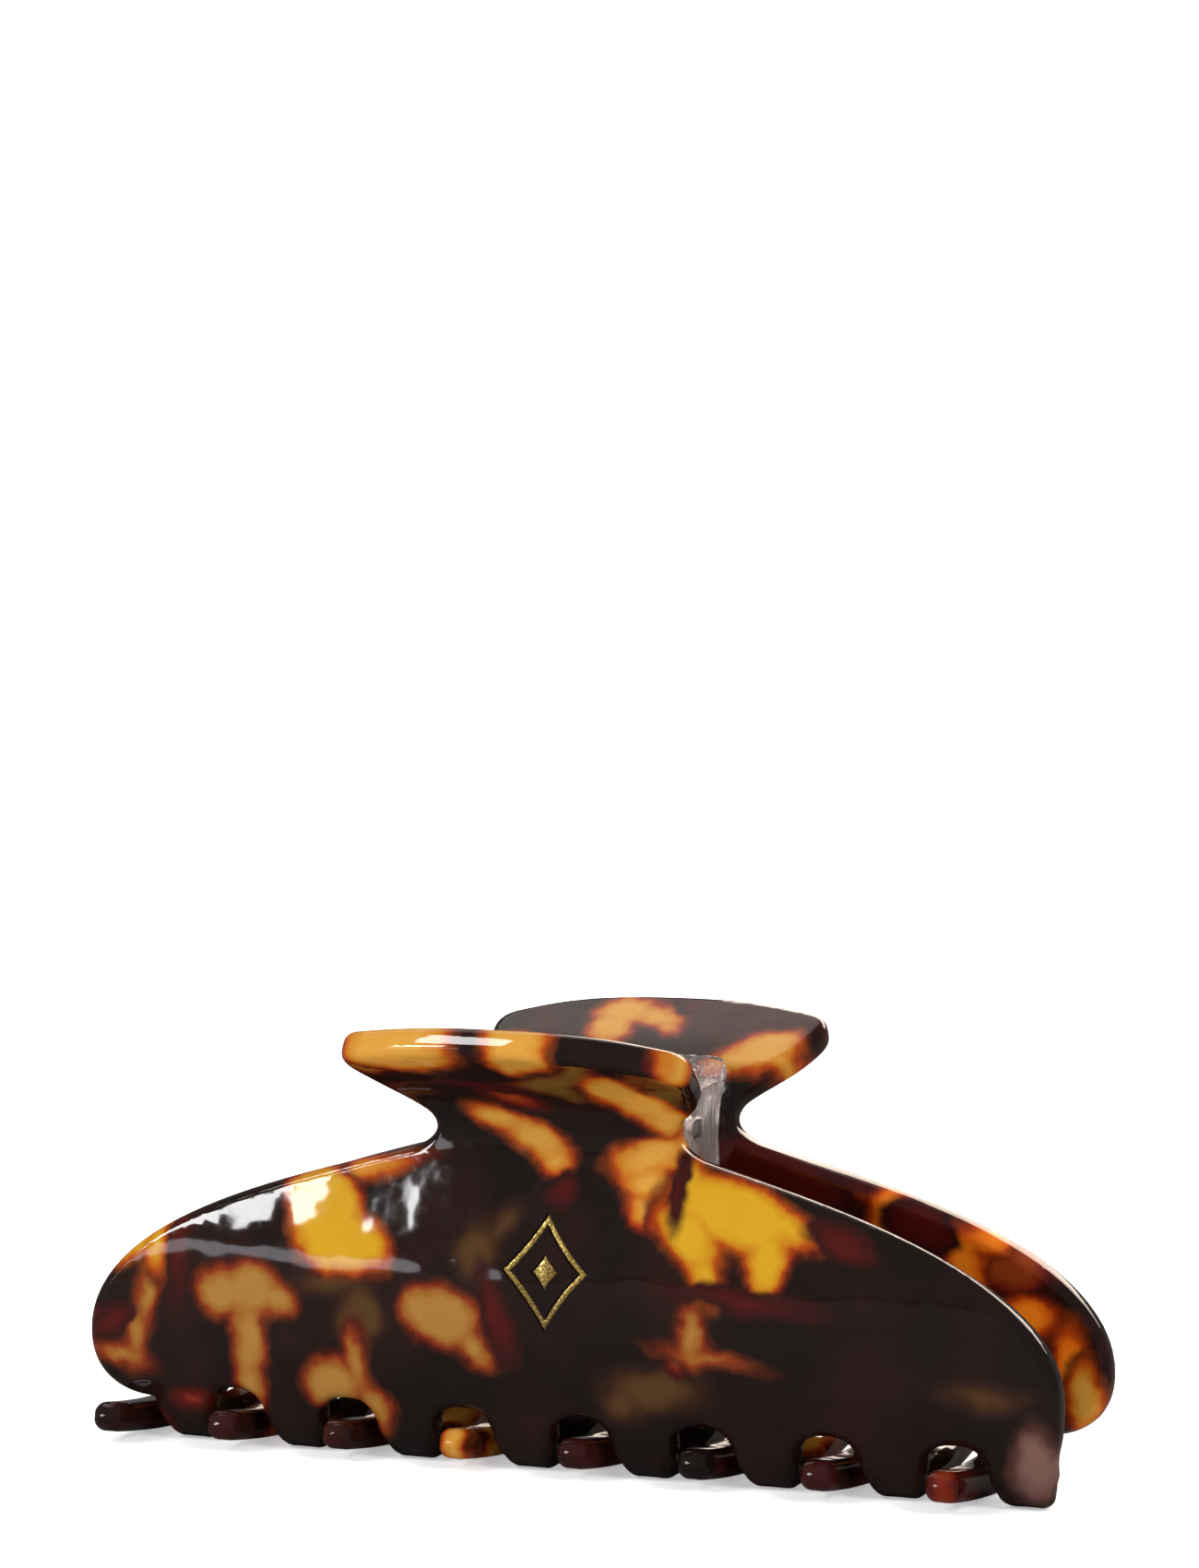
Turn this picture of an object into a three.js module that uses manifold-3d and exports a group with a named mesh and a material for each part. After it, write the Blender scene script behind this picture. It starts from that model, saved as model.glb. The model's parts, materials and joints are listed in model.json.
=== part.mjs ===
// A claw clip for hair: two jaws cut from thick acetate sheet and bent, one turned half a turn about Z
// against the other so that their teeth interleave. They are alike, but the front jaw's end tooth is a
// short rounded lobe. A clear moulded hinge with a steel pin and a torsion spring joins the two necks.
//
// Frame: millimetres, +X along the clip, +Z up, the front jaw on the -Y side. The clip stands closed on
// the flats of its teeth: the origin is on the surface it stands on, in the middle of its footprint.
//
// Each jaw is drawn as a flat sheet. `x` runs along the clip, `s` is measured down the sheet from the
// middle of the thumb pad's top edge, and `lift` is measured out of the sheet's middle surface, away
// from the hair. place() bends that sheet into its real form.
import * as THREE from "three";
import { mergeVertices } from "three/addons/utils/BufferGeometryUtils.js";
import Module from "manifold-3d";

// Overall
const CLIP_LENGTH = 110;
const PAD_TOP_HEIGHT = 46.4; // of the sheet's middle surface
const SHEET = 3.2;
const GAP = 0.3; // left between pieces that touch

// Bend of the sheet: `OUT` is the distance of its middle surface from the clip's centre plane
const PAD_TOP_OUT = 20.8;
const PAD_LENGTH = 8; // the flat stretch that the thumb presses
const PAD_TILT = THREE.MathUtils.degToRad(27);
const PAD_EASE = 3.6;
const NECK_OUT = 7.7;
const NECK_HEIGHT = 35;
const NECK_EASE_UP = 3.4;
const NECK_EASE_DOWN = 5;
const BELLY_OUT = 10.2;
const BELLY_HEIGHT = 19;
const BELLY_EASE_UP = 6;
const BELLY_EASE_DOWN = 9.5;
const CURL_EASE = 3.4;
const FOOT_OUT = 4.6; // of the middle of the level stretch that the clip stands on
const FOOT_FLAT = 3;
const TIP_REACH = 13.2; // how far a tooth's tip ends beyond the centre plane
const TIP_HEIGHT = 3.2;
const FINGER_EASE = 7; // how far a tooth stays level past its foot before it rises to its tip
const END_PINCH = 1.5; // how much nearer the centre plane the sheet is at the clip's ends

// Outline of the flat sheet
const PAD_HALF_WIDTH = 18.8;
const PAD_SHIFT = 1.5; // of the whole pad, away from the end tooth
const PAD_CROWN = 3.2; // drop of the top edge from its highest point to its corners
const PAD_SKEW = 1.6; // how much lower the corner over the end tooth is than the other
const PAD_PEAK_SHIFT = 3.5; // of the highest point, away from the end tooth
const PAD_CORNER = 2.6;
const PAD_SIDE_DROP = 3.9; // from a corner of the pad to where its side starts to draw in
const PAD_SIDE_EASE = 4.5; // how far down the side its upper, nearly straight stretch is felt
const PAD_SIDE_RUN = 3.5; // and its slanting stretch above the neck
const PAD_TOP_FLAT = 1; // half length of the level stretch in the middle of the top edge
const NECK_HALF_WIDTH = 13.3;
const NECK_RISE = 1.6; // the outline is narrowest this far above the bend's neck
const NECK_FILLET = 3;
const SHOULDER_DROP = 3.8; // how steeply the shoulder leaves the neck
const SHOULDER_RUN = 13.5;
const SHOULDER_ROUND = 12.8;
const WIDEST_BELOW_BELLY = 7.6;
const END_ROUND = 5.4; // below the widest point, on both ends
const TOOTH_END_DROP = 3.3; // below the notches' tops, where the outline runs into the end tooth
const TOOTH_END_EASE = 4;
const HEEL_DROP = 1.7; // below the notches' tops, where the outline's other end runs into its tooth
const HEEL_RUN = 2.6; // how level it runs there

// Teeth
const TEETH = 8;
const END_TOOTH_INSET = 4.3; // from the clip's end to the middle of the end tooth
const NOTCH_HEIGHT = 6.6; // of the top of the rounded notches between the teeth
const NOTCH_RADIUS = 3.3;
const FOOT_HALF_WIDTH = 2.4; // of a tooth where it turns level
const TIP_HALF_WIDTH = 1.8;
const TIP_BLUNT = 0.7; // half width of the tooth's very end
const LOBE_HALF_WIDTH = 3; // of the front jaw's short end tooth
const LOBE_END = 1.2; // how far past the foot's start the lobe ends
const LOBE_ROUND = 3.4;

// Hinge
const HINGE_HEIGHT = 35.8;
const HINGE_SIDE_INSET = 0.9; // the hinge ends this far inside the neck's sides
const LEAF_PLATE = 1.3;
const LEAF_UP = 6.2; // how far the leaf's plate runs up and down the sheet from the neck
const LEAF_DOWN = 5.2;
const KNUCKLE_RADIUS = 3.9;
const KNUCKLE_ROOT = 4.7; // half height of a knuckle where it meets its plate
const PIN_RADIUS = 1.2;
const PIN_CLEARANCE = 0.25;
const PIN_RECESS = 0.3;
const PIN_CHAMFER = 0.3;

// Torsion spring
const WIRE_RADIUS = 0.45;
const COIL_CLEARANCE = 0.4; // between the pin and the inside of the coil
const COIL_TURNS = 4.5;
const COIL_PITCH = 1.15;
const COIL_SIDE_GAP = 0.5; // between the coil and the knuckle on each side
const LEG_RISE = 4.4; // of a leg's end above the pin
const LEG_BEND = 2.6; // height above the pin at which a leg has turned straight
const LEG_GAP = 0.25; // between a leg and the plate that it pushes

// Inlaid ornament on the front jaw: a lozenge frame round a small lozenge
const ORNAMENT_HEIGHT = 21.5; // of its centre
const ORNAMENT_HALF_HEIGHT = 6;
const ORNAMENT_HALF_WIDTH = 4.9;
const ORNAMENT_BAND = 1.1;
const ORNAMENT_CENTRE_HALF_HEIGHT = 1.9;
const ORNAMENT_CENTRE_HALF_WIDTH = 1.5;
const ORNAMENT_WAIST = 0.84; // how far a lozenge's sides bow in: 1 is straight
const RECESS_DEPTH = 1.1;
const INLAY_SUNK = 0.15; // the inlay's face lies this far below the sheet's face

// Fineness of the faceted solids
const ROW_STEP = 1.7;
const ROW_LEAST = 0.25;
const SHEET_PARTS = 8; // across each jaw
const ROUND_SIDES = 28;
const WIRE_SIDES = 8;
const LEG_STEPS = 4; // along both of the spring's legs together
const STEPS_PER_TURN = 14;
const OUTLINE_STEPS = 9;

const FOOT_HEIGHT = SHEET / 2;
const HALF_LENGTH = CLIP_LENGTH / 2;
const PITCH = (2 * (HALF_LENGTH - END_TOOTH_INSET)) / (TEETH - 0.5);
const FIRST_TOOTH = HALF_LENGTH - END_TOOTH_INSET - (TEETH - 1) * PITCH;
const LAST_TOOTH = HALF_LENGTH - END_TOOTH_INSET;

const wasm = await Module();
wasm.setup();

// The bend, as distance out from the centre plane against height, from the pad's top to a tooth's tip.
function bendPath() {
  const padEnd = new THREE.Vector2(
    PAD_TOP_OUT - PAD_LENGTH * Math.cos(PAD_TILT),
    PAD_TOP_HEIGHT - PAD_LENGTH * Math.sin(PAD_TILT),
  );
  const footStart = FOOT_OUT + FOOT_FLAT / 2;
  const footEnd = FOOT_OUT - FOOT_FLAT / 2;
  const path = new THREE.Path();
  path.moveTo(PAD_TOP_OUT, PAD_TOP_HEIGHT);
  path.lineTo(padEnd.x, padEnd.y);
  path.bezierCurveTo(
    padEnd.x - PAD_EASE * Math.cos(PAD_TILT),
    padEnd.y - PAD_EASE * Math.sin(PAD_TILT),
    NECK_OUT,
    NECK_HEIGHT + NECK_EASE_UP,
    NECK_OUT,
    NECK_HEIGHT,
  );
  path.bezierCurveTo(
    NECK_OUT,
    NECK_HEIGHT - NECK_EASE_DOWN,
    BELLY_OUT,
    BELLY_HEIGHT + BELLY_EASE_UP,
    BELLY_OUT,
    BELLY_HEIGHT,
  );
  path.bezierCurveTo(
    BELLY_OUT,
    BELLY_HEIGHT - BELLY_EASE_DOWN,
    footStart + CURL_EASE,
    FOOT_HEIGHT,
    footStart,
    FOOT_HEIGHT,
  );
  path.lineTo(footEnd, FOOT_HEIGHT);
  path.quadraticCurveTo(footEnd - FINGER_EASE, FOOT_HEIGHT, -TIP_REACH, TIP_HEIGHT);
  return path;
}

const BEND = bendPath();
BEND.arcLengthDivisions = 2000;
const [PAD_END_S, NECK_S, BELLY_S, FOOT_S, FOOT_END_S] = BEND.getCurveLengths();
const TIP_S = BEND.getLength();

// A point of the flat sheet, on the bent front jaw. Past the sheet's ends the bend runs on straight.
function place(x, s, lift) {
  const onSheet = THREE.MathUtils.clamp(s, 0, TIP_S);
  const middle = BEND.getPointAt(onSheet / TIP_S);
  const along = BEND.getTangentAt(onSheet / TIP_S);
  middle.addScaledVector(along, s - onSheet);
  const pinch = END_PINCH * (x / HALF_LENGTH) ** 2;
  return new THREE.Vector3(x, pinch - (middle.x - lift * along.y), middle.y + lift * along.x);
}

// How far down the sheet its middle surface passes a height, below the pad.
function sAtHeight(height) {
  let low = PAD_END_S;
  let high = FOOT_S;
  while (high - low > GAP / 100) {
    const middle = (low + high) / 2;
    if (place(0, middle, 0).z > height) low = middle;
    else high = middle;
  }
  return (low + high) / 2;
}

const NOTCH_S = sAtHeight(NOTCH_HEIGHT);

// An edge of the flat sheet as a list of points (x, s), and its x at any s.
function edge(path) {
  const points = path.getPoints(OUTLINE_STEPS);
  return {
    rows: points.map((point) => point.y),
    at(s) {
      const next = points.findIndex((point) => point.y > s);
      if (next === 0) return points[0].x;
      if (next < 0) return points.at(-1).x;
      const [a, b] = [points[next - 1], points[next]];
      return THREE.MathUtils.mapLinear(s, a.y, b.y, a.x, b.x);
    },
  };
}

// The half outline of the pad, the neck and the shoulder, down to the widest point. `towards` is 1 on
// the end tooth's side and -1 on the other. Its x is measured away from the middle on either side.
function upperOutline(towards) {
  const neckS = NECK_S - NECK_RISE;
  const crownS = PAD_CROWN + (towards * PAD_SKEW) / 2;
  const padHalf = PAD_HALF_WIDTH - towards * PAD_SHIFT;
  const widestS = BELLY_S + WIDEST_BELOW_BELLY;
  const path = new THREE.Path();
  path.moveTo(PAD_TOP_FLAT - towards * PAD_PEAK_SHIFT, 0);
  path.bezierCurveTo(
    padHalf / 2,
    0,
    padHalf - 2 * PAD_CORNER,
    crownS / 2,
    padHalf - PAD_CORNER / 2,
    crownS,
  );
  path.quadraticCurveTo(
    padHalf + PAD_CORNER / 4,
    crownS + PAD_CORNER / 2,
    padHalf,
    crownS + PAD_SIDE_DROP,
  );
  const sideEnd = new THREE.Vector2(NECK_HALF_WIDTH + NECK_FILLET / 3, neckS - NECK_FILLET / 2);
  path.bezierCurveTo(
    padHalf - PAD_SIDE_EASE / 4,
    crownS + PAD_SIDE_DROP + PAD_SIDE_EASE,
    sideEnd.x + PAD_SIDE_RUN,
    sideEnd.y - PAD_SIDE_RUN,
    sideEnd.x,
    sideEnd.y,
  );
  path.quadraticCurveTo(
    NECK_HALF_WIDTH - NECK_FILLET / 3,
    neckS + NECK_FILLET / 2,
    NECK_HALF_WIDTH + NECK_FILLET,
    neckS + NECK_FILLET,
  );
  path.bezierCurveTo(
    NECK_HALF_WIDTH + NECK_FILLET + SHOULDER_RUN,
    neckS + NECK_FILLET + SHOULDER_DROP,
    HALF_LENGTH,
    widestS - SHOULDER_ROUND,
    HALF_LENGTH,
    widestS,
  );
  return path;
}

// The half width of a tooth down the sheet, as a path from (half width, s): the rounded top of the
// notches beside it, and then a long tooth's sides and rounded tip or the short end tooth's lobe.
function toothSide(long) {
  const archS = NOTCH_S + NOTCH_RADIUS;
  const archHalf = PITCH / 2 - NOTCH_RADIUS;
  const path = new THREE.Path();
  path.moveTo(PITCH / 2 - GAP, NOTCH_S);
  path.quadraticCurveTo(archHalf, NOTCH_S, archHalf, archS);
  if (long) {
    path.quadraticCurveTo(FOOT_HALF_WIDTH, (archS + FOOT_S) / 2, FOOT_HALF_WIDTH, FOOT_END_S);
    path.lineTo(TIP_HALF_WIDTH, TIP_S - TIP_HALF_WIDTH);
    path.quadraticCurveTo(TIP_HALF_WIDTH, TIP_S, TIP_BLUNT, TIP_S);
  } else {
    const lobeEndS = FOOT_S + LOBE_END;
    path.lineTo(LOBE_HALF_WIDTH, lobeEndS - LOBE_ROUND);
    path.quadraticCurveTo(LOBE_HALF_WIDTH, lobeEndS, TIP_BLUNT, lobeEndS);
    path.lineTo(-TIP_BLUNT, lobeEndS + GAP); // past the lobe the two sides cross, so nothing is left
  }
  return path;
}

const TOOTH = edge(toothSide(true));
const LOBE = edge(toothSide(false));

// One side edge of the sheet: the upper outline, then a curve that runs into the outer side of the last
// tooth on that side at joinS, from a point `before` it, given as (x, s) short of the join.
function sideEdge(towards, tooth, toothX, joinS, before) {
  const path = upperOutline(towards);
  const widestS = path.currentPoint.y;
  const joinX = toothX + tooth.at(joinS);
  path.bezierCurveTo(HALF_LENGTH, widestS + END_ROUND, joinX + before.x, joinS - before.y, joinX, joinS);
  for (const s of tooth.rows.filter((row) => row > joinS)) path.lineTo(toothX + tooth.at(s), s);
  return edge(path);
}

// Row positions down the sheet: at every outline point and often enough for the bend.
function rowsBetween(from, to, outlineRows) {
  const wanted = outlineRows.filter((s) => s > from && s < to);
  const steps = Math.ceil((to - from) / ROW_STEP);
  for (let i = 1; i < steps; i++) wanted.push(from + ((to - from) * i) / steps);
  wanted.sort((a, b) => a - b);
  const rows = [from];
  for (const s of wanted) if (s - rows.at(-1) > ROW_LEAST && to - s > ROW_LEAST) rows.push(s);
  rows.push(to);
  return rows;
}

// A closed strip of the bent sheet between two edges and two lifts, its corners at the given rows and
// at so many equal parts across.
function bentStrip(rows, leftAt, rightAt, liftLow, liftHigh, across) {
  const geometry = new THREE.BoxGeometry(1, 1, rows.length - 1, across, 1, rows.length - 1);
  const position = geometry.getAttribute("position");
  for (let i = 0; i < position.count; i++) {
    const s = rows[Math.round(position.getZ(i) + (rows.length - 1) / 2)];
    const x = THREE.MathUtils.lerp(leftAt(s), rightAt(s), position.getX(i) + 0.5);
    const lift = THREE.MathUtils.lerp(liftLow, liftHigh, position.getY(i) + 0.5);
    const { x: px, y: py, z: pz } = place(x, s, lift);
    position.setXYZ(i, px, py, pz);
  }
  return geometry;
}

// A flat shape drawn in (x, -s) and raised between two lifts, bent with the sheet.
function bentShape(shape, liftLow, liftHigh) {
  const geometry = new THREE.ExtrudeGeometry(shape, { depth: liftHigh - liftLow, bevelEnabled: false });
  const position = geometry.getAttribute("position");
  for (let i = 0; i < position.count; i++) {
    const { x, y, z } = place(position.getX(i), -position.getY(i), liftLow + position.getZ(i));
    position.setXYZ(i, x, y, z);
  }
  return geometry;
}

// A closed three.js geometry as a solid for joining and cutting.
function solid(geometry) {
  const bare = geometry.clone();
  bare.deleteAttribute("normal");
  bare.deleteAttribute("uv");
  const merged = mergeVertices(bare, 1e-4);
  return new wasm.Manifold(
    new wasm.Mesh({
      numProp: 3,
      vertProperties: new Float32Array(merged.getAttribute("position").array),
      triVerts: new Uint32Array(merged.index.array),
    }),
  );
}

function geometryOf(manifold) {
  const { vertProperties, triVerts } = manifold.getMesh();
  const geometry = new THREE.BufferGeometry();
  geometry.setAttribute("position", new THREE.BufferAttribute(vertProperties, 3));
  geometry.setIndex(new THREE.BufferAttribute(triVerts, 1));
  return geometry;
}

// One jaw before its ornament: the bent sheet with the notches between its teeth cut out. Its end tooth,
// on the +X side, is a long tooth or the short lobe.
function jawSolid(endTooth) {
  const endS = NOTCH_S + TOOTH_END_DROP;
  const right = sideEdge(1, endTooth, LAST_TOOTH, endS, new THREE.Vector2(0, TOOTH_END_EASE));
  const heelS = NOTCH_S + HEEL_DROP;
  const leftMirror = sideEdge(-1, TOOTH, -FIRST_TOOTH, heelS, new THREE.Vector2(HEEL_RUN, 0));
  const rows = rowsBetween(0, TIP_S, [...right.rows, ...leftMirror.rows]);
  let jaw = solid(
    bentStrip(rows, (s) => -leftMirror.at(s), right.at, -SHEET / 2, SHEET / 2, SHEET_PARTS),
  );
  const past = TIP_S + SHEET;
  for (let i = 0; i < TEETH - 1; i++) {
    const toothLeft = FIRST_TOOTH + i * PITCH;
    const next = i === TEETH - 2 ? endTooth : TOOTH;
    const cutter = bentStrip(
      [...rowsBetween(NOTCH_S, TIP_S, [...TOOTH.rows, ...next.rows]), past],
      (s) => toothLeft + TOOTH.at(s),
      (s) => toothLeft + PITCH - next.at(s),
      -SHEET,
      SHEET,
      1,
    );
    jaw = jaw.subtract(solid(cutter));
  }
  return jaw;
}

// A lozenge with slightly hollow sides, centred on the ornament, grown by an offset.
function lozenge(halfWidth, halfHeight, offset, PathType) {
  const centre = -sAtHeight(ORNAMENT_HEIGHT);
  const w = halfWidth + offset;
  const h = halfHeight + offset * (halfHeight / halfWidth);
  const corners = [
    [w, 0],
    [0, h],
    [-w, 0],
    [0, -h],
  ];
  const path = new PathType();
  path.moveTo(w, centre);
  corners.forEach(([x, y], i) => {
    const [nextX, nextY] = corners[(i + 1) % corners.length];
    path.quadraticCurveTo(
      ((x + nextX) / 2) * ORNAMENT_WAIST,
      centre + ((y + nextY) / 2) * ORNAMENT_WAIST,
      nextX,
      centre + nextY,
    );
  });
  return path;
}

// The ornament's two shapes, each side moved out by an offset.
function ornamentShapes(offset) {
  const frame = lozenge(ORNAMENT_HALF_WIDTH, ORNAMENT_HALF_HEIGHT, offset, THREE.Shape);
  frame.holes.push(lozenge(ORNAMENT_HALF_WIDTH, ORNAMENT_HALF_HEIGHT, -ORNAMENT_BAND - offset, THREE.Path));
  const centre = lozenge(ORNAMENT_CENTRE_HALF_WIDTH, ORNAMENT_CENTRE_HALF_HEIGHT, offset, THREE.Shape);
  return { frame, centre };
}

function frontJawSolid() {
  const { frame, centre } = ornamentShapes(0);
  const floor = SHEET / 2 - RECESS_DEPTH;
  return jawSolid(LOBE)
    .subtract(solid(bentShape(frame, floor, SHEET)))
    .subtract(solid(bentShape(centre, floor, SHEET)));
}

function inlay(shape) {
  return bentShape(shape, SHEET / 2 - RECESS_DEPTH + GAP, SHEET / 2 - INLAY_SUNK);
}

const LEAF_HALF = NECK_HALF_WIDTH - HINGE_SIDE_INSET;
const LEAF_LIFT = -SHEET / 2 - GAP; // of the plate's bonded face
const PLATE_FACE_OUT = NECK_OUT + LEAF_LIFT - LEAF_PLATE; // of its inner face, at the neck
const COIL_HALF = (COIL_TURNS * COIL_PITCH) / 2 + WIRE_RADIUS + COIL_SIDE_GAP;
const KNUCKLE_LENGTH = (LEAF_HALF - COIL_HALF - GAP) / 2;
// Each leaf has one knuckle at its -X end and one beside the coil, and the half turn of these fills
// the spaces left for the other leaf's.
const KNUCKLE_STARTS = [-LEAF_HALF, COIL_HALF];

// A knuckle's outline in (y, z): round the pin, then two straight webs to the front leaf's plate.
function knuckleShape() {
  const root = -(PLATE_FACE_OUT + LEAF_PLATE / 2);
  const reach = Math.hypot(root, KNUCKLE_ROOT);
  const tangent = Math.PI - Math.atan2(KNUCKLE_ROOT, -root) - Math.acos(KNUCKLE_RADIUS / reach);
  const shape = new THREE.Shape();
  shape.moveTo(root, KNUCKLE_ROOT);
  shape.lineTo(root, -KNUCKLE_ROOT);
  shape.absarc(0, 0, KNUCKLE_RADIUS, -tangent, tangent, false);
  const bore = new THREE.Path();
  bore.absarc(0, 0, PIN_RADIUS + PIN_CLEARANCE, 0, 2 * Math.PI, true);
  shape.holes.push(bore);
  return shape;
}

// A clear hinge leaf: a plate that follows the inside of the front jaw's neck, and its knuckles.
function leafSolid() {
  const rows = rowsBetween(NECK_S - LEAF_UP, NECK_S + LEAF_DOWN, []);
  let leaf = solid(
    bentStrip(
      rows,
      () => -LEAF_HALF,
      () => LEAF_HALF,
      LEAF_LIFT - LEAF_PLATE,
      LEAF_LIFT,
      2,
    ),
  );
  for (const start of KNUCKLE_STARTS) {
    const knuckle = new THREE.ExtrudeGeometry(knuckleShape(), {
      depth: KNUCKLE_LENGTH,
      bevelEnabled: false,
      curveSegments: ROUND_SIDES,
    });
    knuckle.applyMatrix4(
      new THREE.Matrix4().makeBasis(
        new THREE.Vector3(0, 1, 0),
        new THREE.Vector3(0, 0, 1),
        new THREE.Vector3(1, 0, 0),
      ),
    );
    knuckle.translate(start, 0, HINGE_HEIGHT);
    leaf = leaf.add(solid(knuckle));
  }
  return leaf;
}

// The steel pin, a plain rod with broken edges, along X.
function pinGeometry() {
  const half = LEAF_HALF - PIN_RECESS;
  const profile = [
    [0, -half],
    [PIN_RADIUS - PIN_CHAMFER, -half],
    [PIN_RADIUS, -half + PIN_CHAMFER],
    [PIN_RADIUS, half - PIN_CHAMFER],
    [PIN_RADIUS - PIN_CHAMFER, half],
    [0, half],
  ].map(([radius, y]) => new THREE.Vector2(radius, y));
  return new THREE.LatheGeometry(profile, ROUND_SIDES);
}

// The torsion spring: a coil round the pin whose two legs push the upper ends of the leaves apart.
function springGeometry() {
  const radius = PIN_RADIUS + COIL_CLEARANCE + WIRE_RADIUS;
  const legOut = PLATE_FACE_OUT - WIRE_RADIUS - LEG_GAP;
  const halfRun = (COIL_TURNS * COIL_PITCH) / 2;
  const steps = Math.round(COIL_TURNS * STEPS_PER_TURN);
  const legHeights = [LEG_RISE, LEG_BEND];
  const points = legHeights.map((height) => new THREE.Vector3(-halfRun, -legOut, height));
  for (let i = 0; i <= steps; i++) {
    const share = i / steps;
    const angle = Math.PI + 2 * Math.PI * COIL_TURNS * share;
    points.push(
      new THREE.Vector3(halfRun * (2 * share - 1), radius * Math.cos(angle), -radius * Math.sin(angle)),
    );
  }
  points.push(...legHeights.reverse().map((height) => new THREE.Vector3(halfRun, legOut, height)));
  const section = new THREE.Shape().absarc(0, 0, WIRE_RADIUS, 0, 2 * Math.PI, false);
  return new THREE.ExtrudeGeometry(section, {
    extrudePath: new THREE.CatmullRomCurve3(points),
    steps: steps + 1 + LEG_STEPS,
    curveSegments: WIRE_SIDES / 2, // on each half of the round section
    bevelEnabled: false,
  });
}

const tortoiseshell = new THREE.MeshStandardMaterial({ color: 0x2a1510, roughness: 0.12, metalness: 0 });
const clearPlastic = new THREE.MeshStandardMaterial({
  color: 0xd9c9bd,
  roughness: 0.08,
  metalness: 0,
  transparent: true,
  opacity: 0.45,
});
const steel = new THREE.MeshStandardMaterial({ color: 0xb9bcc0, roughness: 0.25, metalness: 1 });
const goldFlake = new THREE.MeshStandardMaterial({ color: 0x9c7a33, roughness: 0.5, metalness: 0.7 });

function piece(name, geometry, material) {
  const mesh = new THREE.Mesh(geometry, material);
  mesh.name = name;
  return mesh;
}

const { frame: frameShape, centre: centreShape } = ornamentShapes(-GAP);

const frontHalf = new THREE.Group();
frontHalf.add(
  piece("front_jaw", geometryOf(frontJawSolid()), tortoiseshell),
  piece("front_hinge_leaf", geometryOf(leafSolid()), clearPlastic),
  piece("ornament_frame_inlay", inlay(frameShape), goldFlake),
  piece("ornament_centre_inlay", inlay(centreShape), goldFlake),
);

const rearHalf = new THREE.Group();
rearHalf.rotation.z = Math.PI;
rearHalf.add(
  piece("rear_jaw", geometryOf(jawSolid(TOOTH)), tortoiseshell),
  piece("rear_hinge_leaf", geometryOf(leafSolid()), clearPlastic),
);

const hingeLine = new THREE.Group();
hingeLine.position.z = HINGE_HEIGHT;
const pin = piece("hinge_pin", pinGeometry(), steel);
pin.rotation.z = -Math.PI / 2;
hingeLine.add(pin, piece("torsion_spring", springGeometry(), steel));

const clip = new THREE.Group();
clip.add(frontHalf, rearHalf, hingeLine);

export default clip;
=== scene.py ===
"""A tortoiseshell claw clip for hair, closed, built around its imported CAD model.

Lengths are in millimetres until a piece is finished, and its mesh is then scaled to metres. +X runs along
the clip, +Z is up, and the front jaw is on the -Y side. Each jaw is drawn flat: x runs along the clip, s
down the sheet from the middle of the thumb pad's top edge, and lift is measured out of the sheet's middle
surface, away from the hair. A Bend turns that flat drawing into its real form.
"""
import json
import logging
import math
from collections.abc import Callable, Sequence
from dataclasses import dataclass, field
from enum import Enum
from functools import cached_property

import bmesh
import bpy
import numpy as np
from mathutils import Matrix, Vector


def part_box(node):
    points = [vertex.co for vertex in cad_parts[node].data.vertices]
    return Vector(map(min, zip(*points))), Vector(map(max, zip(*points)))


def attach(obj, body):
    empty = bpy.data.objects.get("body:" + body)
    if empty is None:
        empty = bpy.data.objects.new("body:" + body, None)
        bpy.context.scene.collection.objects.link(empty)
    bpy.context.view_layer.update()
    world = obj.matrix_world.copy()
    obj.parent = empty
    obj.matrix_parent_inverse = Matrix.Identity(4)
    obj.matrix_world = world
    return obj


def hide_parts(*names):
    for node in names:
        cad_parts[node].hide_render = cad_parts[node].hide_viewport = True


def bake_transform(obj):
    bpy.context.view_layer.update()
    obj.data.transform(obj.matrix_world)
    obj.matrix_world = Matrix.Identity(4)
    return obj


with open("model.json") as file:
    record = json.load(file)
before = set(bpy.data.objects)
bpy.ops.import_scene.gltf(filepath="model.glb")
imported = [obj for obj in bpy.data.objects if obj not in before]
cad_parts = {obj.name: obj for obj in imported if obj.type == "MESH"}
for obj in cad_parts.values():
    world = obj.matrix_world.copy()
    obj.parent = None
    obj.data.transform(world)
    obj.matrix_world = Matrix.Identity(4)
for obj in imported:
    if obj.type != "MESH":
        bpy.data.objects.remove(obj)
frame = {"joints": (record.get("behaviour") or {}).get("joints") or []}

LOG = logging.getLogger("claw_clip")
MM = 0.001
Point = tuple[float, float]
Triple = tuple[float, float, float]
Colour = Triple


def in_mm(metres: float) -> float:
    """A length in the frame, in millimetres, to the nearest hundredth."""
    return round(metres / MM, 2)


AXIS_HEIGHT = in_mm(frame["joints"][0]["pos_m"][2])
HALF_LENGTH = in_mm(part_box("front_jaw")[1].x)


# ---------------------------------------------------------------- shader graphs


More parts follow.
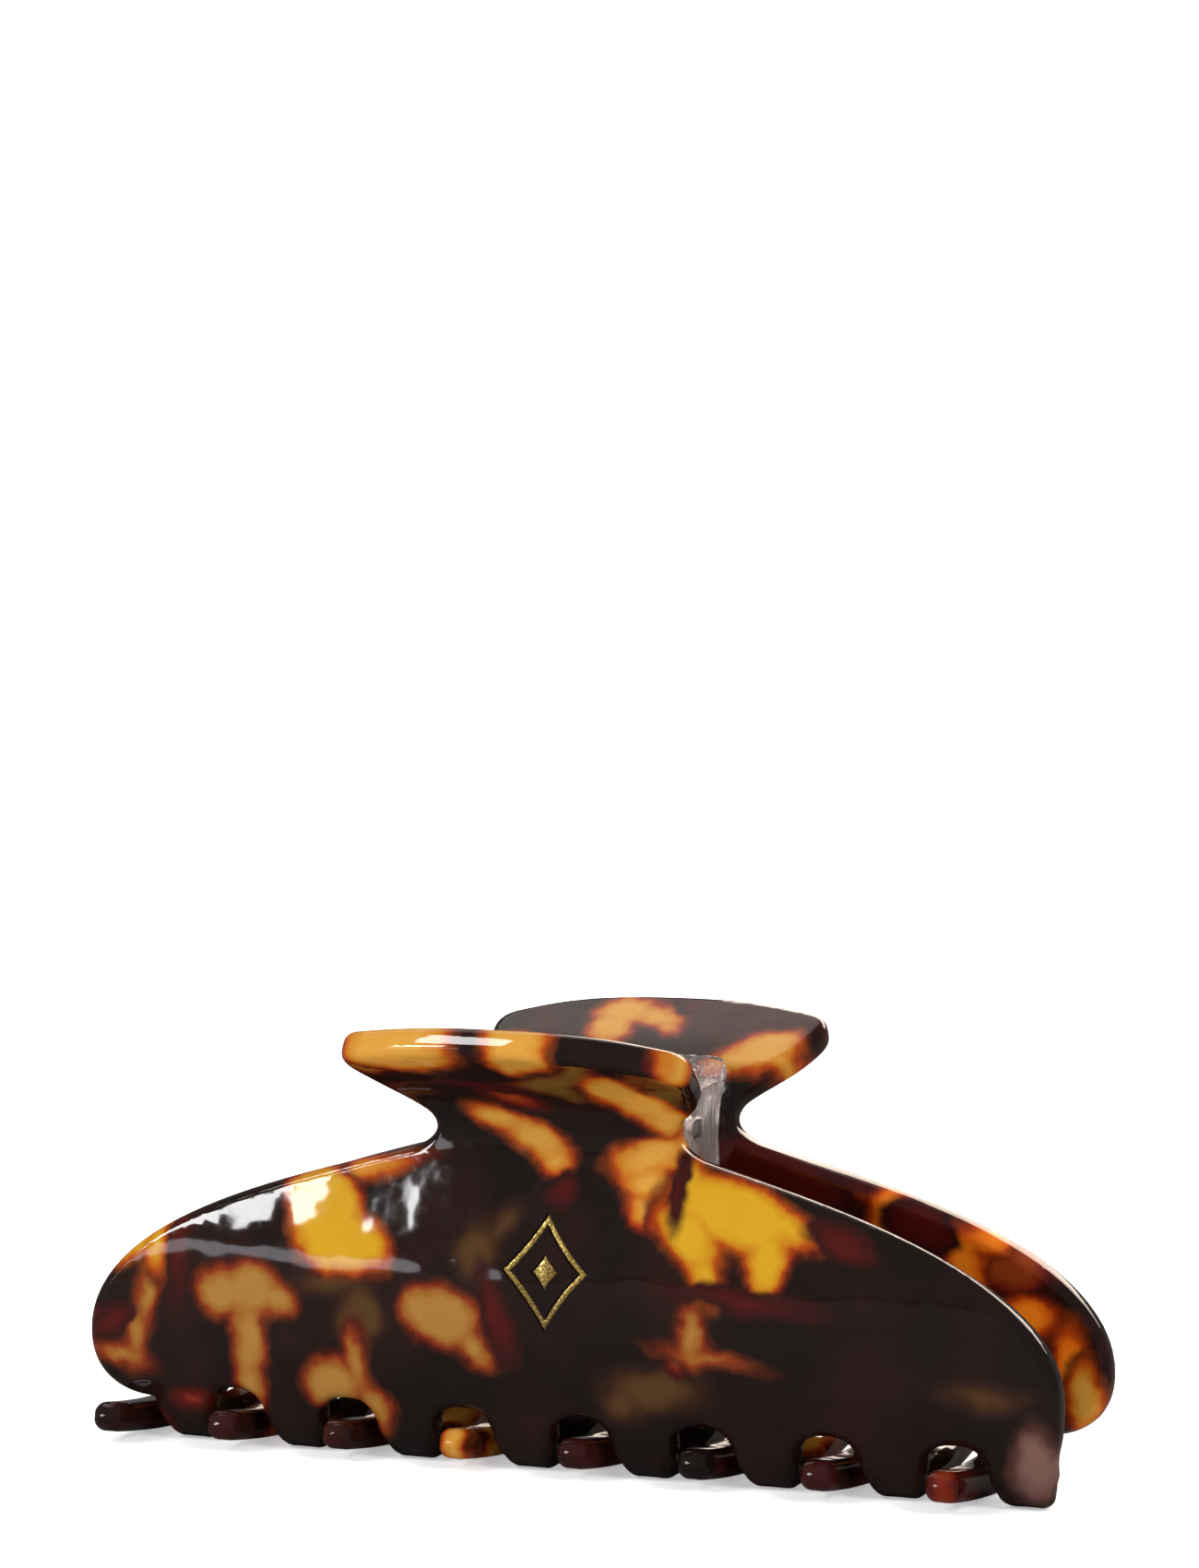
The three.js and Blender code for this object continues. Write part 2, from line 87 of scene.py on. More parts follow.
class Signal:
    """One output socket of a material's node graph, with arithmetic on it."""

    def __init__(self, graph: "Graph", socket: bpy.types.NodeSocket | None) -> None:
        """Wraps a socket."""
        self.graph = graph
        self.socket = socket

    def _math(self, operation: str, *values: "Signal | float") -> "Signal":
        """Adds one Math node to the graph."""
        return self.graph.add("ShaderNodeMath", {"operation": operation}, dict(enumerate(values)))

    def __add__(self, other: "Signal | float") -> "Signal":
        """Self plus other."""
        return self._math("ADD", self, other)

    __radd__ = __add__

    def __sub__(self, other: "Signal | float") -> "Signal":
        """Self minus other."""
        return self._math("SUBTRACT", self, other)

    def __rsub__(self, other: float) -> "Signal":
        """Other minus self."""
        return self._math("SUBTRACT", other, self)

    def __mul__(self, other: "Signal | float") -> "Signal":
        """Self times other."""
        return self._math("MULTIPLY", self, other)

    __rmul__ = __mul__

    def least(self, other: "Signal", blend: float) -> "Signal":
        """The lesser of two signals, rounded off where they are nearly the same."""
        return self._math("SMOOTH_MIN", self, other, blend)

    def between(self, low: float, high: float) -> "Signal":
        """A signal that rises smoothly from 0 at low to 1 at high, or falls where low is the greater."""
        return self.graph.add(
            "ShaderNodeMapRange",
            {"interpolation_type": "SMOOTHSTEP"},
            {"Value": self, "From Min": low, "From Max": high},
        )


class Graph:
    """The node graph of one material or world."""

    def __init__(self, owner: bpy.types.Material | bpy.types.World) -> None:
        """Starts with an empty graph in that material or world."""
        owner.use_nodes = True
        self.owner = owner
        self.tree = owner.node_tree
        self.tree.nodes.clear()

    @classmethod
    def of_material(cls, name: str) -> "Graph":
        """The graph of a new material."""
        return cls(bpy.data.materials.new(name))

    def add(
        self,
        kind: str,
        settings: dict[str, object] | None = None,
        inputs: dict[str | int, object] | None = None,
        output: str | int = 0,
    ) -> Signal:
        """Adds a node.

        Args:
            kind: the node's type.
            settings: its properties, or "stops" for a colour ramp's (position, colour) pairs.
            inputs: a signal or a plain value for each socket, by name or by place.
            output: the socket to give back.

        Returns:
            The chosen output.
        """
        node = self.tree.nodes.new(kind)
        for key, value in (settings or {}).items():
            if key == "stops":
                self._set_stops(node.color_ramp, value)
            else:
                setattr(node, key, value)
        for key, value in (inputs or {}).items():
            if isinstance(value, Signal):
                self.tree.links.new(value.socket, node.inputs[key])
            else:
                node.inputs[key].default_value = value
        return Signal(self, node.outputs[output] if node.outputs else None)

    @staticmethod
    def _set_stops(ramp: bpy.types.ColorRamp, stops: Sequence[tuple[float, Colour]]) -> None:
        """Gives a colour ramp its stops."""
        while len(ramp.elements) < len(stops):
            ramp.elements.new(1.0)
        for element, (position, colour) in zip(ramp.elements, stops):
            element.position = position
            element.color = (*colour, 1.0)

    def noise(self, at: Signal, scale: float, detail: float, output: str = "Fac", **more: float) -> Signal:
        """A noise texture at a position."""
        named = {key.capitalize(): value for key, value in more.items()}
        inputs = {"Vector": at, "Scale": scale, "Detail": detail} | named
        return self.add("ShaderNodeTexNoise", {}, inputs, output)

    def mix(self, share: Signal | float, low: Signal | Colour, high: Signal | Colour) -> Signal:
        """A mix of two colours."""
        low, high = (c if isinstance(c, Signal) else (*c, 1.0) for c in (low, high))
        return self.add("ShaderNodeMix", {"data_type": "RGBA"}, {0: share, 6: low, 7: high}, 2)

    def vector(self, operation: str, *values: object, output: str | int = 0) -> Signal:
        """One Vector Math node."""
        return self.add("ShaderNodeVectorMath", {"operation": operation}, dict(enumerate(values)), output)

    def bump(self, height: Signal, distance: float) -> Signal:
        """A bump from a height signal, of that distance in metres."""
        return self.add("ShaderNodeBump", {}, {"Height": height, "Distance": distance, "Strength": 1.0})

    def place(self, scale: Triple = (1.0, 1.0, 1.0)) -> Signal:
        """The Object coordinates, scaled."""
        place = self.add("ShaderNodeTexCoord", {}, {}, "Object")
        return self.add("ShaderNodeMapping", {}, {"Vector": place, "Scale": scale})

    def finish(self, **sockets: object) -> bpy.types.Material:
        """Closes the graph with a Principled shader.

        Args:
            sockets: its inputs, with _ for a space in their names.

        Returns:
            The material.
        """
        inputs = {key.replace("_", " "): value for key, value in sockets.items()}
        inputs = {k: (*v, 1.0) if isinstance(v, tuple) and len(v) == 3 else v for k, v in inputs.items()}
        shader = self.add("ShaderNodeBsdfPrincipled", {}, inputs)
        self.add("ShaderNodeOutputMaterial", {}, {"Surface": shader})
        return self.owner


# ---------------------------------------------------------------- finishes

FLAT_ATTRIBUTE = "sheet"
FLAT_ONLY = 1000.0  # a patch's scale through the sheet, so large that only its flat place counts
PATCH_FULLNESS = 1.15  # a patch's reach as a share of its lesser half, as its edge is soft


class Tint(Enum):
    """The sorts of patch in tortoiseshell, in the order in which they are laid. One of them is not a sort of
    its own: it is honey darkened as painted shade, for patches that lie mostly low on the jaw, where less
    light falls.

    Each has the colours of its halo, its rim, its body and its core.
    """

    SMOKE = ((0.014, 0.006, 0.005), (0.026, 0.010, 0.005), (0.044, 0.019, 0.007), (0.072, 0.034, 0.011))
    ROSE = ((0.022, 0.008, 0.006), (0.055, 0.022, 0.017), (0.110, 0.052, 0.042), (0.170, 0.088, 0.072))
    EMBER = ((0.030, 0.004, 0.003), (0.070, 0.006, 0.004), (0.150, 0.015, 0.005), (0.250, 0.040, 0.008))
    SIENNA = ((0.070, 0.005, 0.003), (0.300, 0.028, 0.004), (0.600, 0.110, 0.005), (0.800, 0.200, 0.010))
    # painted shade: honey's colours darkened to a little over half, standing in for the lesser light low on
    # the jaw
    TOFFEE = ((0.050, 0.004, 0.003), (0.190, 0.022, 0.005), (0.260, 0.088, 0.014), (0.330, 0.165, 0.034))
    HONEY = ((0.070, 0.004, 0.003), (0.330, 0.038, 0.004), (0.470, 0.160, 0.013), (0.580, 0.290, 0.045))
    AMBER = ((0.075, 0.003, 0.003), (0.310, 0.034, 0.003), (0.450, 0.165, 0.006), (0.540, 0.300, 0.013))
    CHERRY = ((0.022, 0.005, 0.004), (0.040, 0.005, 0.004), (0.058, 0.005, 0.004), (0.066, 0.006, 0.005))


@dataclass(frozen=True)
class Patch:
    """One lighter patch in the sheet: an ellipse in flat (x, s), in millimetres, turned in degrees."""

    x: float
    s: float
    half_width: float
    half_height: float
    turn: float = 0.0
    tint: Tint = Tint.HONEY

    def distance(self, graph: Graph, at: Signal) -> Signal:
        """About how far a flat position is outside the patch's edge."""
        place = {
            "Vector": at,
            "Location": (self.x, self.s, 0.0),
            "Rotation": (0.0, 0.0, math.radians(self.turn)),
            "Scale": (self.half_width, self.half_height, FLAT_ONLY),
        }
        inside = graph.add("ShaderNodeMapping", {"vector_type": "TEXTURE"}, place)
        reach = min(self.half_width, self.half_height) * PATCH_FULLNESS
        return graph.vector("LENGTH", inside, output="Value") * reach - reach


@dataclass(frozen=True)
class Tortoiseshell:
    """Polished acetate, near-black brown with lighter patches that shade through dark red.

    The scales are of noise on the flat sheet, per millimetre, and each pair is where a signal starts to rise
    and where it has risen. Distances from a patch's edge are in millimetres, and less than zero inside it.
    """

    name: str
    patches: tuple[Patch, ...]
    ground: Colour = (0.0075, 0.0042, 0.0036)
    ground_warm: Colour = (0.0155, 0.0058, 0.0045)
    cloud_scale: float = 0.10
    cloud: Point = (0.38, 0.66)
    wander_scale: float = 0.20
    wander: float = 2.6
    fray_scale: float = 0.8
    fray: float = 0.55
    merge: float = 1.5
    cover: Point = (1.5, 0.5)
    depth: Point = (1.4, -1.8)
    stops: tuple[float, ...] = (0.12, 0.36, 0.57, 0.92)
    mottle_scale: float = 0.33
    mottle: Point = (0.25, 0.8)
    mottle_share: float = 0.22
    haze_scale: float = 0.9
    haze: Point = (0.45, 0.8)
    roughness: Point = (0.055, 0.105)
    swell_scale: float = 0.11
    dimple_scale: float = 0.36
    dimple: float = 0.12
    swell: float = 0.00040

    def build(self) -> bpy.types.Material:
        """Builds the material, which reads the flat position stored on each piece."""
        graph = Graph.of_material(self.name)
        sheet = graph.add("ShaderNodeAttribute", {"attribute_name": FLAT_ATTRIBUTE}, {}, "Vector")
        drift = self._shake(graph, sheet, self.wander_scale, 2.0, self.wander)
        ripple = self._shake(graph, sheet, self.fray_scale, 1.5, self.fray)
        at = graph.vector("ADD", graph.vector("ADD", sheet, drift), ripple)
        cloud = graph.noise(sheet, self.cloud_scale, 3.0).between(*self.cloud)
        colour = graph.mix(cloud, self.ground, self.ground_warm)
        mottle = graph.noise(sheet, self.mottle_scale, 4.0, roughness=0.6).between(*self.mottle)
        for tint in Tint:
            chosen = [patch for patch in self.patches if patch.tint is tint]
            if chosen:
                colour = self._lay(graph, colour, at, chosen, tint, mottle)
        haze = graph.noise(sheet, self.haze_scale, 3.0).between(*self.haze)
        polished, dull = self.roughness
        dimples = graph.noise(sheet, self.dimple_scale, 0.5)
        swell = graph.noise(sheet, self.swell_scale, 0.6) + self.dimple * dimples
        return graph.finish(
            Base_Color=colour,
            Roughness=polished + (dull - polished) * haze,
            Normal=graph.bump(swell, self.swell),
            IOR=1.49,
        )

    @staticmethod
    def _shake(graph: Graph, sheet: Signal, scale: float, detail: float, reach: float) -> Signal:
        """A wandering offset of up to half the reach each way."""
        noise = graph.noise(sheet, scale, detail, "Color")
        return graph.vector("MULTIPLY_ADD", noise, (reach,) * 3, (-reach / 2,) * 3)

    def _lay(
        self, graph: Graph, colour: Signal, at: Signal, patches: list[Patch], tint: Tint, mottle: Signal
    ) -> Signal:
        """Lays all the patches of one tint over a colour.

        Args:
            graph: the material's graph.
            colour: the colour under the patches.
            at: the wandering flat position.
            patches: the patches.
            tint: their sort.
            mottle: a signal that clouds their cores.

        Returns:
            The new colour.
        """
        distance = None
        for patch in patches:
            edge = patch.distance(graph, at)
            distance = edge if distance is None else distance.least(edge, self.merge)
        _, _, body, _ = tint.value
        stops = list(zip(self.stops, tint.value))
        shade = graph.add("ShaderNodeValToRGB", {"stops": stops}, {"Fac": distance.between(*self.depth)})
        shade = graph.mix(mottle * self.mottle_share, shade, body)
        return graph.mix(distance.between(*self.cover), colour, shade)


@dataclass(frozen=True)
class ClearPlastic:
    """Clear moulded plastic with flow lines."""

    name: str = "clear plastic"
    tint: Colour = (1.0, 0.90, 0.86)
    line_scale: Triple = (900.0, 900.0, 120.0)
    cloudy: Point = (0.4, 0.8)
    line_height: float = 0.00060
    clearness: float = 0.94

    def build(self) -> bpy.types.Material:
        """Builds the material on Object coordinates."""
        graph = Graph.of_material(self.name)
        lines = graph.noise(graph.place(self.line_scale), 1.0, 3.0)
        return graph.finish(
            Base_Color=self.tint,
            Roughness=0.04 + 0.10 * lines.between(*self.cloudy),
            Normal=graph.bump(lines, self.line_height),
            IOR=1.47,
            Transmission_Weight=self.clearness,
        )


@dataclass(frozen=True)
class Steel:
    """Drawn steel wire and rod."""

    name: str = "drawn steel"
    bright: Colour = (0.62, 0.62, 0.63)
    dull: Colour = (0.50, 0.49, 0.48)
    line_scale: Triple = (400.0, 6000.0, 6000.0)
    line_height: float = 0.00001

    def build(self) -> bpy.types.Material:
        """Builds the material on Object coordinates."""
        graph = Graph.of_material(self.name)
        lines = graph.noise(graph.place(self.line_scale), 1.0, 2.0)
        return graph.finish(
            Base_Color=graph.mix(lines, self.bright, self.dull),
            Roughness=0.16 + 0.16 * lines,
            Normal=graph.bump(lines, self.line_height),
            Metallic=1.0,
        )


@dataclass(frozen=True)
class GoldFlake:
    """Gold flakes set in lacquer: bright specks over a darker body."""

    name: str = "gold flake"
    dark: Colour = (0.20, 0.125, 0.025)
    bright: Colour = (0.68, 0.50, 0.16)
    flake_scale: float = 7000.0
    glint: Point = (0.35, 1.0)
    flake_height: float = 0.00003

    def build(self) -> bpy.types.Material:
        """Builds the material on Object coordinates."""
        graph = Graph.of_material(self.name)
        at = {"Vector": graph.place(), "Scale": self.flake_scale}
        cells = graph.add("ShaderNodeTexVoronoi", {}, at, "Color")
        speck = graph.add("ShaderNodeSeparateColor", {}, {"Color": cells})
        glint = speck.between(*self.glint)
        return graph.finish(
            Base_Color=graph.mix(glint, self.dark, self.bright),
            Metallic=0.75,
            Roughness=0.50 - 0.22 * glint,
            Normal=graph.bump(speck, self.flake_height),
        )


# ---------------------------------------------------------------- meshes


class MeshTools:
    """Steps that several pieces share. Each works on a bmesh in millimetres."""

    @staticmethod
    def polygon(outline: Sequence[Point], level: float) -> bmesh.types.BMesh:
        """A bmesh of one flat face with that outline."""
        bm = bmesh.new()
        bm.faces.new([bm.verts.new((x, y, level)) for x, y in outline])
        return bm

    @staticmethod
    def raise_up(bm: bmesh.types.BMesh, height: float) -> None:
        """Turns every face of a flat bmesh into a closed slab of that height."""
        grown = bmesh.ops.extrude_face_region(bm, geom=bm.faces[:] + bm.edges[:] + bm.verts[:])
        raised = [v for v in grown["geom"] if isinstance(v, bmesh.types.BMVert)]
        bmesh.ops.translate(bm, verts=raised, vec=(0.0, 0.0, height))
        bmesh.ops.recalc_face_normals(bm, faces=bm.faces[:])

    @staticmethod
    def corners(bm: bmesh.types.BMesh, wanted: Callable[[bmesh.types.BMEdge], bool]) -> list:
        """The edges where two faces meet at about a right angle and that are wanted."""
        bm.normal_update()
        low, high = math.radians(60), math.radians(120)
        return [
            e
            for e in bm.edges
            if len(e.link_faces) == 2 and low < e.calc_face_angle(0.0) < high and wanted(e)
        ]

    @staticmethod
    def rims(bm: bmesh.types.BMesh) -> list:
        """The corners that lie level."""
        return MeshTools.corners(bm, lambda e: abs(e.verts[0].co.z - e.verts[1].co.z) < 1e-4)

    @staticmethod
    def tube(rings: Sequence[Sequence[Point]], level: float, height: float) -> bmesh.types.BMesh:
        """A closed slab between an outer and an inner outline of as many points each."""
        bm = bmesh.new()
        edges = []
        for ring in rings:
            verts = [bm.verts.new((x, y, level)) for x, y in ring]
            edges += [bm.edges.new(pair) for pair in zip(verts, verts[1:] + verts[:1])]
        bmesh.ops.bridge_loops(bm, edges=edges)
        MeshTools.raise_up(bm, height)
        return bm

    @staticmethod
    def round_edges(bm: bmesh.types.BMesh, edges: list, radius: float, segments: int) -> None:
        """Rounds edges off."""
        bmesh.ops.bevel(
            bm,
            geom=edges,
            offset=radius,
            segments=segments,
            profile=0.5,
            affect="EDGES",
            material=-1,
            clamp_overlap=False,
        )

    @staticmethod
    def slice_up(bm: bmesh.types.BMesh, axis: int, low: float, high: float, step: float) -> None:
        """Cuts a bmesh by evenly spaced planes across one axis."""
        count = math.ceil((high - low) / step)
        normal = Vector((0.0, 0.0, 0.0))
        normal[axis] = 1.0
        for i in range(1, count):
            at = normal * (low + (high - low) * i / count)
            everything = bm.verts[:] + bm.edges[:] + bm.faces[:]
            bmesh.ops.bisect_plane(bm, geom=everything, dist=1e-5, plane_co=at, plane_no=normal)

    @staticmethod
    def to_object(bm: bmesh.types.BMesh, name: str) -> bpy.types.Object:
        """A new object with that mesh, which frees the bmesh."""
        mesh = bpy.data.meshes.new(name)
        bm.to_mesh(mesh)
        bm.free()
        thing = bpy.data.objects.new(name, mesh)
        bpy.context.scene.collection.objects.link(thing)
        return thing

    @staticmethod
    def combine(thing: bpy.types.Object, tools: Sequence[bpy.types.Object], how: str) -> None:
        """Joins or cuts an object with tool objects, which are then removed.

        Args:
            thing: the object that is changed.
            tools: closed objects.
            how: "UNION" or "DIFFERENCE".
        """
        for tool in tools:
            change = thing.modifiers.new("combine", "BOOLEAN")
            change.operation = how
            change.solver = "EXACT"
            change.object = tool
        graph = bpy.context.evaluated_depsgraph_get()
        mesh = bpy.data.meshes.new_from_object(thing.evaluated_get(graph))
        thing.modifiers.clear()
        thing.data = mesh
        for tool in tools:
            bpy.data.objects.remove(tool)

    @staticmethod
    def dress(thing: bpy.types.Object, material: bpy.types.Material, angle: float = 38.0) -> None:
        """Smooths a finished mesh apart from its sharp corners and gives it its only material."""
        thing.data.shade_smooth()
        thing.data.set_sharp_from_angle(angle=math.radians(angle))
        thing.data.materials.clear()
        thing.data.materials.append(material)


def curve_points(controls: Sequence[Point], steps: int) -> list[Point]:
    """Points along a Bezier curve of any order.

    Args:
        controls: its control points.
        steps: how many parts it is cut in.

    Returns:
        The points, both ends among them.
    """
    share = np.linspace(0.0, 1.0, steps + 1)[:, None]
    layers = [np.repeat(np.array([c], float), steps + 1, 0) for c in controls]
    while len(layers) > 1:
        layers = [a * (1 - share) + b * share for a, b in zip(layers, layers[1:])]
    return [tuple(p) for p in layers[0]]


def even_spacing(points: Sequence[Point], step: float) -> list[Point]:
    """A closed outline's points again, about a step apart.

    Args:
        points: the outline.
        step: the wanted distance.

    Returns:
        The new points.
    """
    loop = np.array([*points, points[0]], float)
    length = np.concatenate([[0.0], np.cumsum(np.hypot(*np.diff(loop, axis=0).T))])
    count = round(length[-1] / step)
    wanted = np.linspace(0.0, length[-1], count, endpoint=False)
    return list(zip(np.interp(wanted, length, loop[:, 0]), np.interp(wanted, length, loop[:, 1])))


@dataclass
class Bend:
    """The jaws' bend: distance out from the clip's centre plane against height, down the sheet."""

    pad_top: Point = (20.8, 46.4)
    pad_length: float = 8.0
    pad_tilt: float = math.radians(27.0)
    pad_ease: float = 3.6
    neck: Point = (7.7, 35.0)
    neck_ease: Point = (3.4, 5.0)
    belly: Point = (10.2, 19.0)
    belly_ease: Point = (6.0, 9.5)
    curl_ease: float = 3.4
    foot_out: float = 4.6
    foot_flat: float = 3.0
    foot_height: float = 1.6
    tip: Point = (13.2, 3.2)
    finger_ease: float = 7.0
    end_pinch: float = 1.5
    half_length: float = HALF_LENGTH
    steps: int = 300

    @cached_property
    def pieces(self) -> list[list[Point]]:
        """The stretches of the bend, each a list of points."""
        cos, sin = math.cos(self.pad_tilt), math.sin(self.pad_tilt)
        pad_end = (self.pad_top[0] - self.pad_length * cos, self.pad_top[1] - self.pad_length * sin)
        start, end = self.foot_out + self.foot_flat / 2, self.foot_out - self.foot_flat / 2
        (neck, neck_z), (belly, belly_z) = self.neck, self.belly
        shapes = [
            [self.pad_top, pad_end],
            [
                pad_end,
                (pad_end[0] - self.pad_ease * cos, pad_end[1] - self.pad_ease * sin),
                (neck, neck_z + self.neck_ease[0]),
                self.neck,
            ],
            [
                self.neck,
                (neck, neck_z - self.neck_ease[1]),
                (belly, belly_z + self.belly_ease[0]),
                self.belly,
            ],
            [
                self.belly,
                (belly, belly_z - self.belly_ease[1]),
                (start + self.curl_ease, self.foot_height),
                (start, self.foot_height),
            ],
            [(start, self.foot_height), (end, self.foot_height)],
            [
                (end, self.foot_height),
                (end - self.finger_ease, self.foot_height),
                (-self.tip[0], self.tip[1]),
            ],
        ]
        return [curve_points(shape, self.steps) for shape in shapes]

    @cached_property
    def path(self) -> tuple[np.ndarray, np.ndarray, np.ndarray]:
        """Length down the sheet, position and direction, at close steps."""
        joined = [p for piece in self.pieces for p in piece[:-1]] + [self.pieces[-1][-1]]
        points = np.array(joined)
        length = np.concatenate([[0.0], np.cumsum(np.hypot(*np.diff(points, axis=0).T))])
        along = np.gradient(points, axis=0)
        along /= np.hypot(*along.T)[:, None]
        return length, points, along

    @cached_property
    def marks(self) -> list[float]:
        """How far down the sheet each stretch ends: pad, neck, belly, foot, flat, tip."""
        steps = [np.hypot(*np.diff(np.array(piece), axis=0).T).sum() for piece in self.pieces]
        return list(np.cumsum(steps))

    def at_height(self, height: float) -> float:
        """How far down the sheet its middle passes a height, below the pad and above the foot."""
        length, points, _ = self.path
        between = (length > self.marks[0]) & (length < self.marks[3])
        return float(np.interp(-height, -points[between, 1], length[between]))

    def place(self, flat: np.ndarray) -> np.ndarray:
        """Bends flat points.

        Args:
            flat: rows of (x, s, lift).

        Returns:
            Rows of (x, y, z) on the front jaw.
        """
        length, points, along = self.path
        x, s, lift = flat.T
        held = np.clip(s, 0.0, length[-1])
        out, z, d_out, d_z = (np.interp(held, length, values) for values in (*points.T, *along.T))
        out, z = out + d_out * (s - held), z + d_z * (s - held)
        pinch = self.end_pinch * (x / self.half_length) ** 2
        return np.stack([x, pinch - (out - lift * d_z), z + lift * d_out], axis=1)


@dataclass
class Outline:
    """The outline of a jaw's flat sheet."""

    bend: Bend
    short_end_tooth: bool
    pad_half_width: float = 18.8
    pad_shift: float = 1.5
    pad_crown: float = 3.2
    pad_skew: float = 1.6
    pad_peak_shift: float = 3.5
    pad_corner: float = 2.6
    pad_side_drop: float = 3.9
    pad_side_ease: float = 4.5
    pad_side_run: float = 3.5
    pad_top_flat: float = 1.0
    neck_half_width: float = 13.3
    neck_rise: float = 1.6
    neck_fillet: float = 3.0
    shoulder_drop: float = 3.8
    shoulder_run: float = 13.5
    shoulder_round: float = 12.8
    widest_below_belly: float = 7.6
    end_round: float = 5.4
    tooth_end_drop: float = 3.3
    tooth_end_ease: float = 4.0
    heel_drop: float = 1.7
    heel_run: float = 2.6
    teeth: int = 8
    end_tooth_inset: float = 4.3
    notch_height: float = 6.6
    notch_radius: float = 3.3
    notch_flat: float = 0.3
    foot_half_width: float = 2.4
    tip_half_width: float = 1.8
    lobe_half_width: float = 3.0
    lobe_end: float = 1.2
    steps: int = 14
    spacing: float = 0.5

    @cached_property
    def pitch(self) -> float:
        """From one tooth to the next."""
        return 2 * (self.bend.half_length - self.end_tooth_inset) / (self.teeth - 0.5)

    @cached_property
    def tooth_centres(self) -> list[float]:
        """Where the teeth are along the clip."""
        last = self.bend.half_length - self.end_tooth_inset
        return [last - (self.teeth - 1 - i) * self.pitch for i in range(self.teeth)]

    @cached_property
    def notch_s(self) -> float:
        """How far down the sheet the notches' tops are."""
        return self.bend.at_height(self.notch_height)

    def tooth_side(self, is_long: bool) -> list[Point]:
        """Half a tooth's width down the sheet, as points of (half width, s)."""
        _, _, _, foot, foot_end, tip = self.bend.marks
        arch_s = self.notch_s + self.notch_radius
        arch = self.pitch / 2 - self.notch_radius
        notch = [(self.pitch / 2 - self.notch_flat, self.notch_s), (arch, self.notch_s), (arch, arch_s)]
        points = curve_points(notch, self.steps)
        if is_long:
            half = self.foot_half_width
            taper = [(arch, arch_s), (half, (arch_s + foot) / 2), (half, foot_end)]
            points += curve_points(taper, self.steps)
            return points + self.round_end(self.tip_half_width, tip)
        return points + self.round_end(self.lobe_half_width, foot + self.lobe_end)

    def round_end(self, half: float, end: float) -> list[Point]:
        """A half-round end, from its side to the middle of its tip."""
        turns = np.linspace(0.0, math.pi / 2, self.steps)
        return [(half * math.cos(a), end - half + half * math.sin(a)) for a in turns]

    def upper_side(self, towards: float) -> list[Point]:
        """Half the outline, from the pad's top to the widest point.

        Args:
            towards: 1 on the end tooth's side and -1 on the other.

        Returns:
            Points of (distance from the middle, s).
        """
        neck_s = self.bend.marks[1] - self.neck_rise
        crown = self.pad_crown + towards * self.pad_skew / 2
        half = self.pad_half_width - towards * self.pad_shift
        widest = self.bend.marks[2] + self.widest_below_belly
        corner, neck, fillet = self.pad_corner, self.neck_half_width, self.neck_fillet
        full = self.bend.half_length
        shapes = [
            [
                (self.pad_top_flat - towards * self.pad_peak_shift, 0.0),
                (half / 2, 0.0),
                (half - 2 * corner, crown / 2),
                (half - corner / 2, crown),
            ],
            [
                (half - corner / 2, crown),
                (half + corner / 4, crown + corner / 2),
                (half, crown + self.pad_side_drop),
            ],
            [
                (half, crown + self.pad_side_drop),
                (half - self.pad_side_ease / 4, crown + self.pad_side_drop + self.pad_side_ease),
                (neck + fillet / 3 + self.pad_side_run, neck_s - fillet / 2 - self.pad_side_run),
                (neck + fillet / 3, neck_s - fillet / 2),
            ],
            [
                (neck + fillet / 3, neck_s - fillet / 2),
                (neck - fillet / 3, neck_s + fillet / 2),
                (neck + fillet, neck_s + fillet),
            ],
            [
                (neck + fillet, neck_s + fillet),
                (neck + fillet + self.shoulder_run, neck_s + fillet + self.shoulder_drop),
                (full, widest - self.shoulder_round),
                (full, widest),
            ],
        ]
        return [p for shape in shapes for p in curve_points(shape, 2 * self.steps)]

    def side(
        self, towards: float, tooth: list[Point], tooth_x: float, join: Point, ease: Point
    ) -> list[Point]:
        """A whole side, from the pad's top to the middle of its last tooth's tip.

        Args:
            towards: 1 on the end tooth's side and -1 on the other.
            tooth: half the last tooth.
            tooth_x: its distance from the middle.
            join: where the side runs into the tooth.
            ease: how far before it the curve's last control point lies.

        Returns:
            Points of (distance from the middle, s).
        """
        upper = self.upper_side(towards)
        full, widest = upper[-1]
        controls = [upper[-1], (full, widest + self.end_round), (join[0] + ease[0], join[1] - ease[1]), join]
        lower = [(tooth_x + half, s) for half, s in tooth if s > join[1]]
        return upper + curve_points(controls, 2 * self.steps) + lower

    def points(self) -> list[Point]:
        """The whole outline as points of (x, s), evenly spaced."""
        long, end = self.tooth_side(True), self.tooth_side(not self.short_end_tooth)
        centres = self.tooth_centres

        def join(tooth: list[Point], tooth_x: float, drop: float) -> Point:
            """The point on a tooth's outer side that far below the notches' tops."""
            s = self.notch_s + drop
            widths = np.array(tooth)
            return (tooth_x + float(np.interp(s, widths[:, 1], widths[:, 0])), s)

        right_join = join(end, centres[-1], self.tooth_end_drop)
        outline = self.side(1.0, end, centres[-1], right_join, (0.0, self.tooth_end_ease))
        for i in reversed(range(self.teeth)):
            tooth = end if i == self.teeth - 1 else long
            if i < self.teeth - 1:
                outline += [(centres[i] + half, s) for half, s in tooth]
            if i > 0:
                outline += [(centres[i] - half, s) for half, s in reversed(tooth)]
        left_join = join(long, -centres[0], self.heel_drop)
        left = self.side(-1.0, long, -centres[0], left_join, (self.heel_run, 0.0))
        outline += [(-x, s) for x, s in reversed(left)]
        return even_spacing(outline, self.spacing)


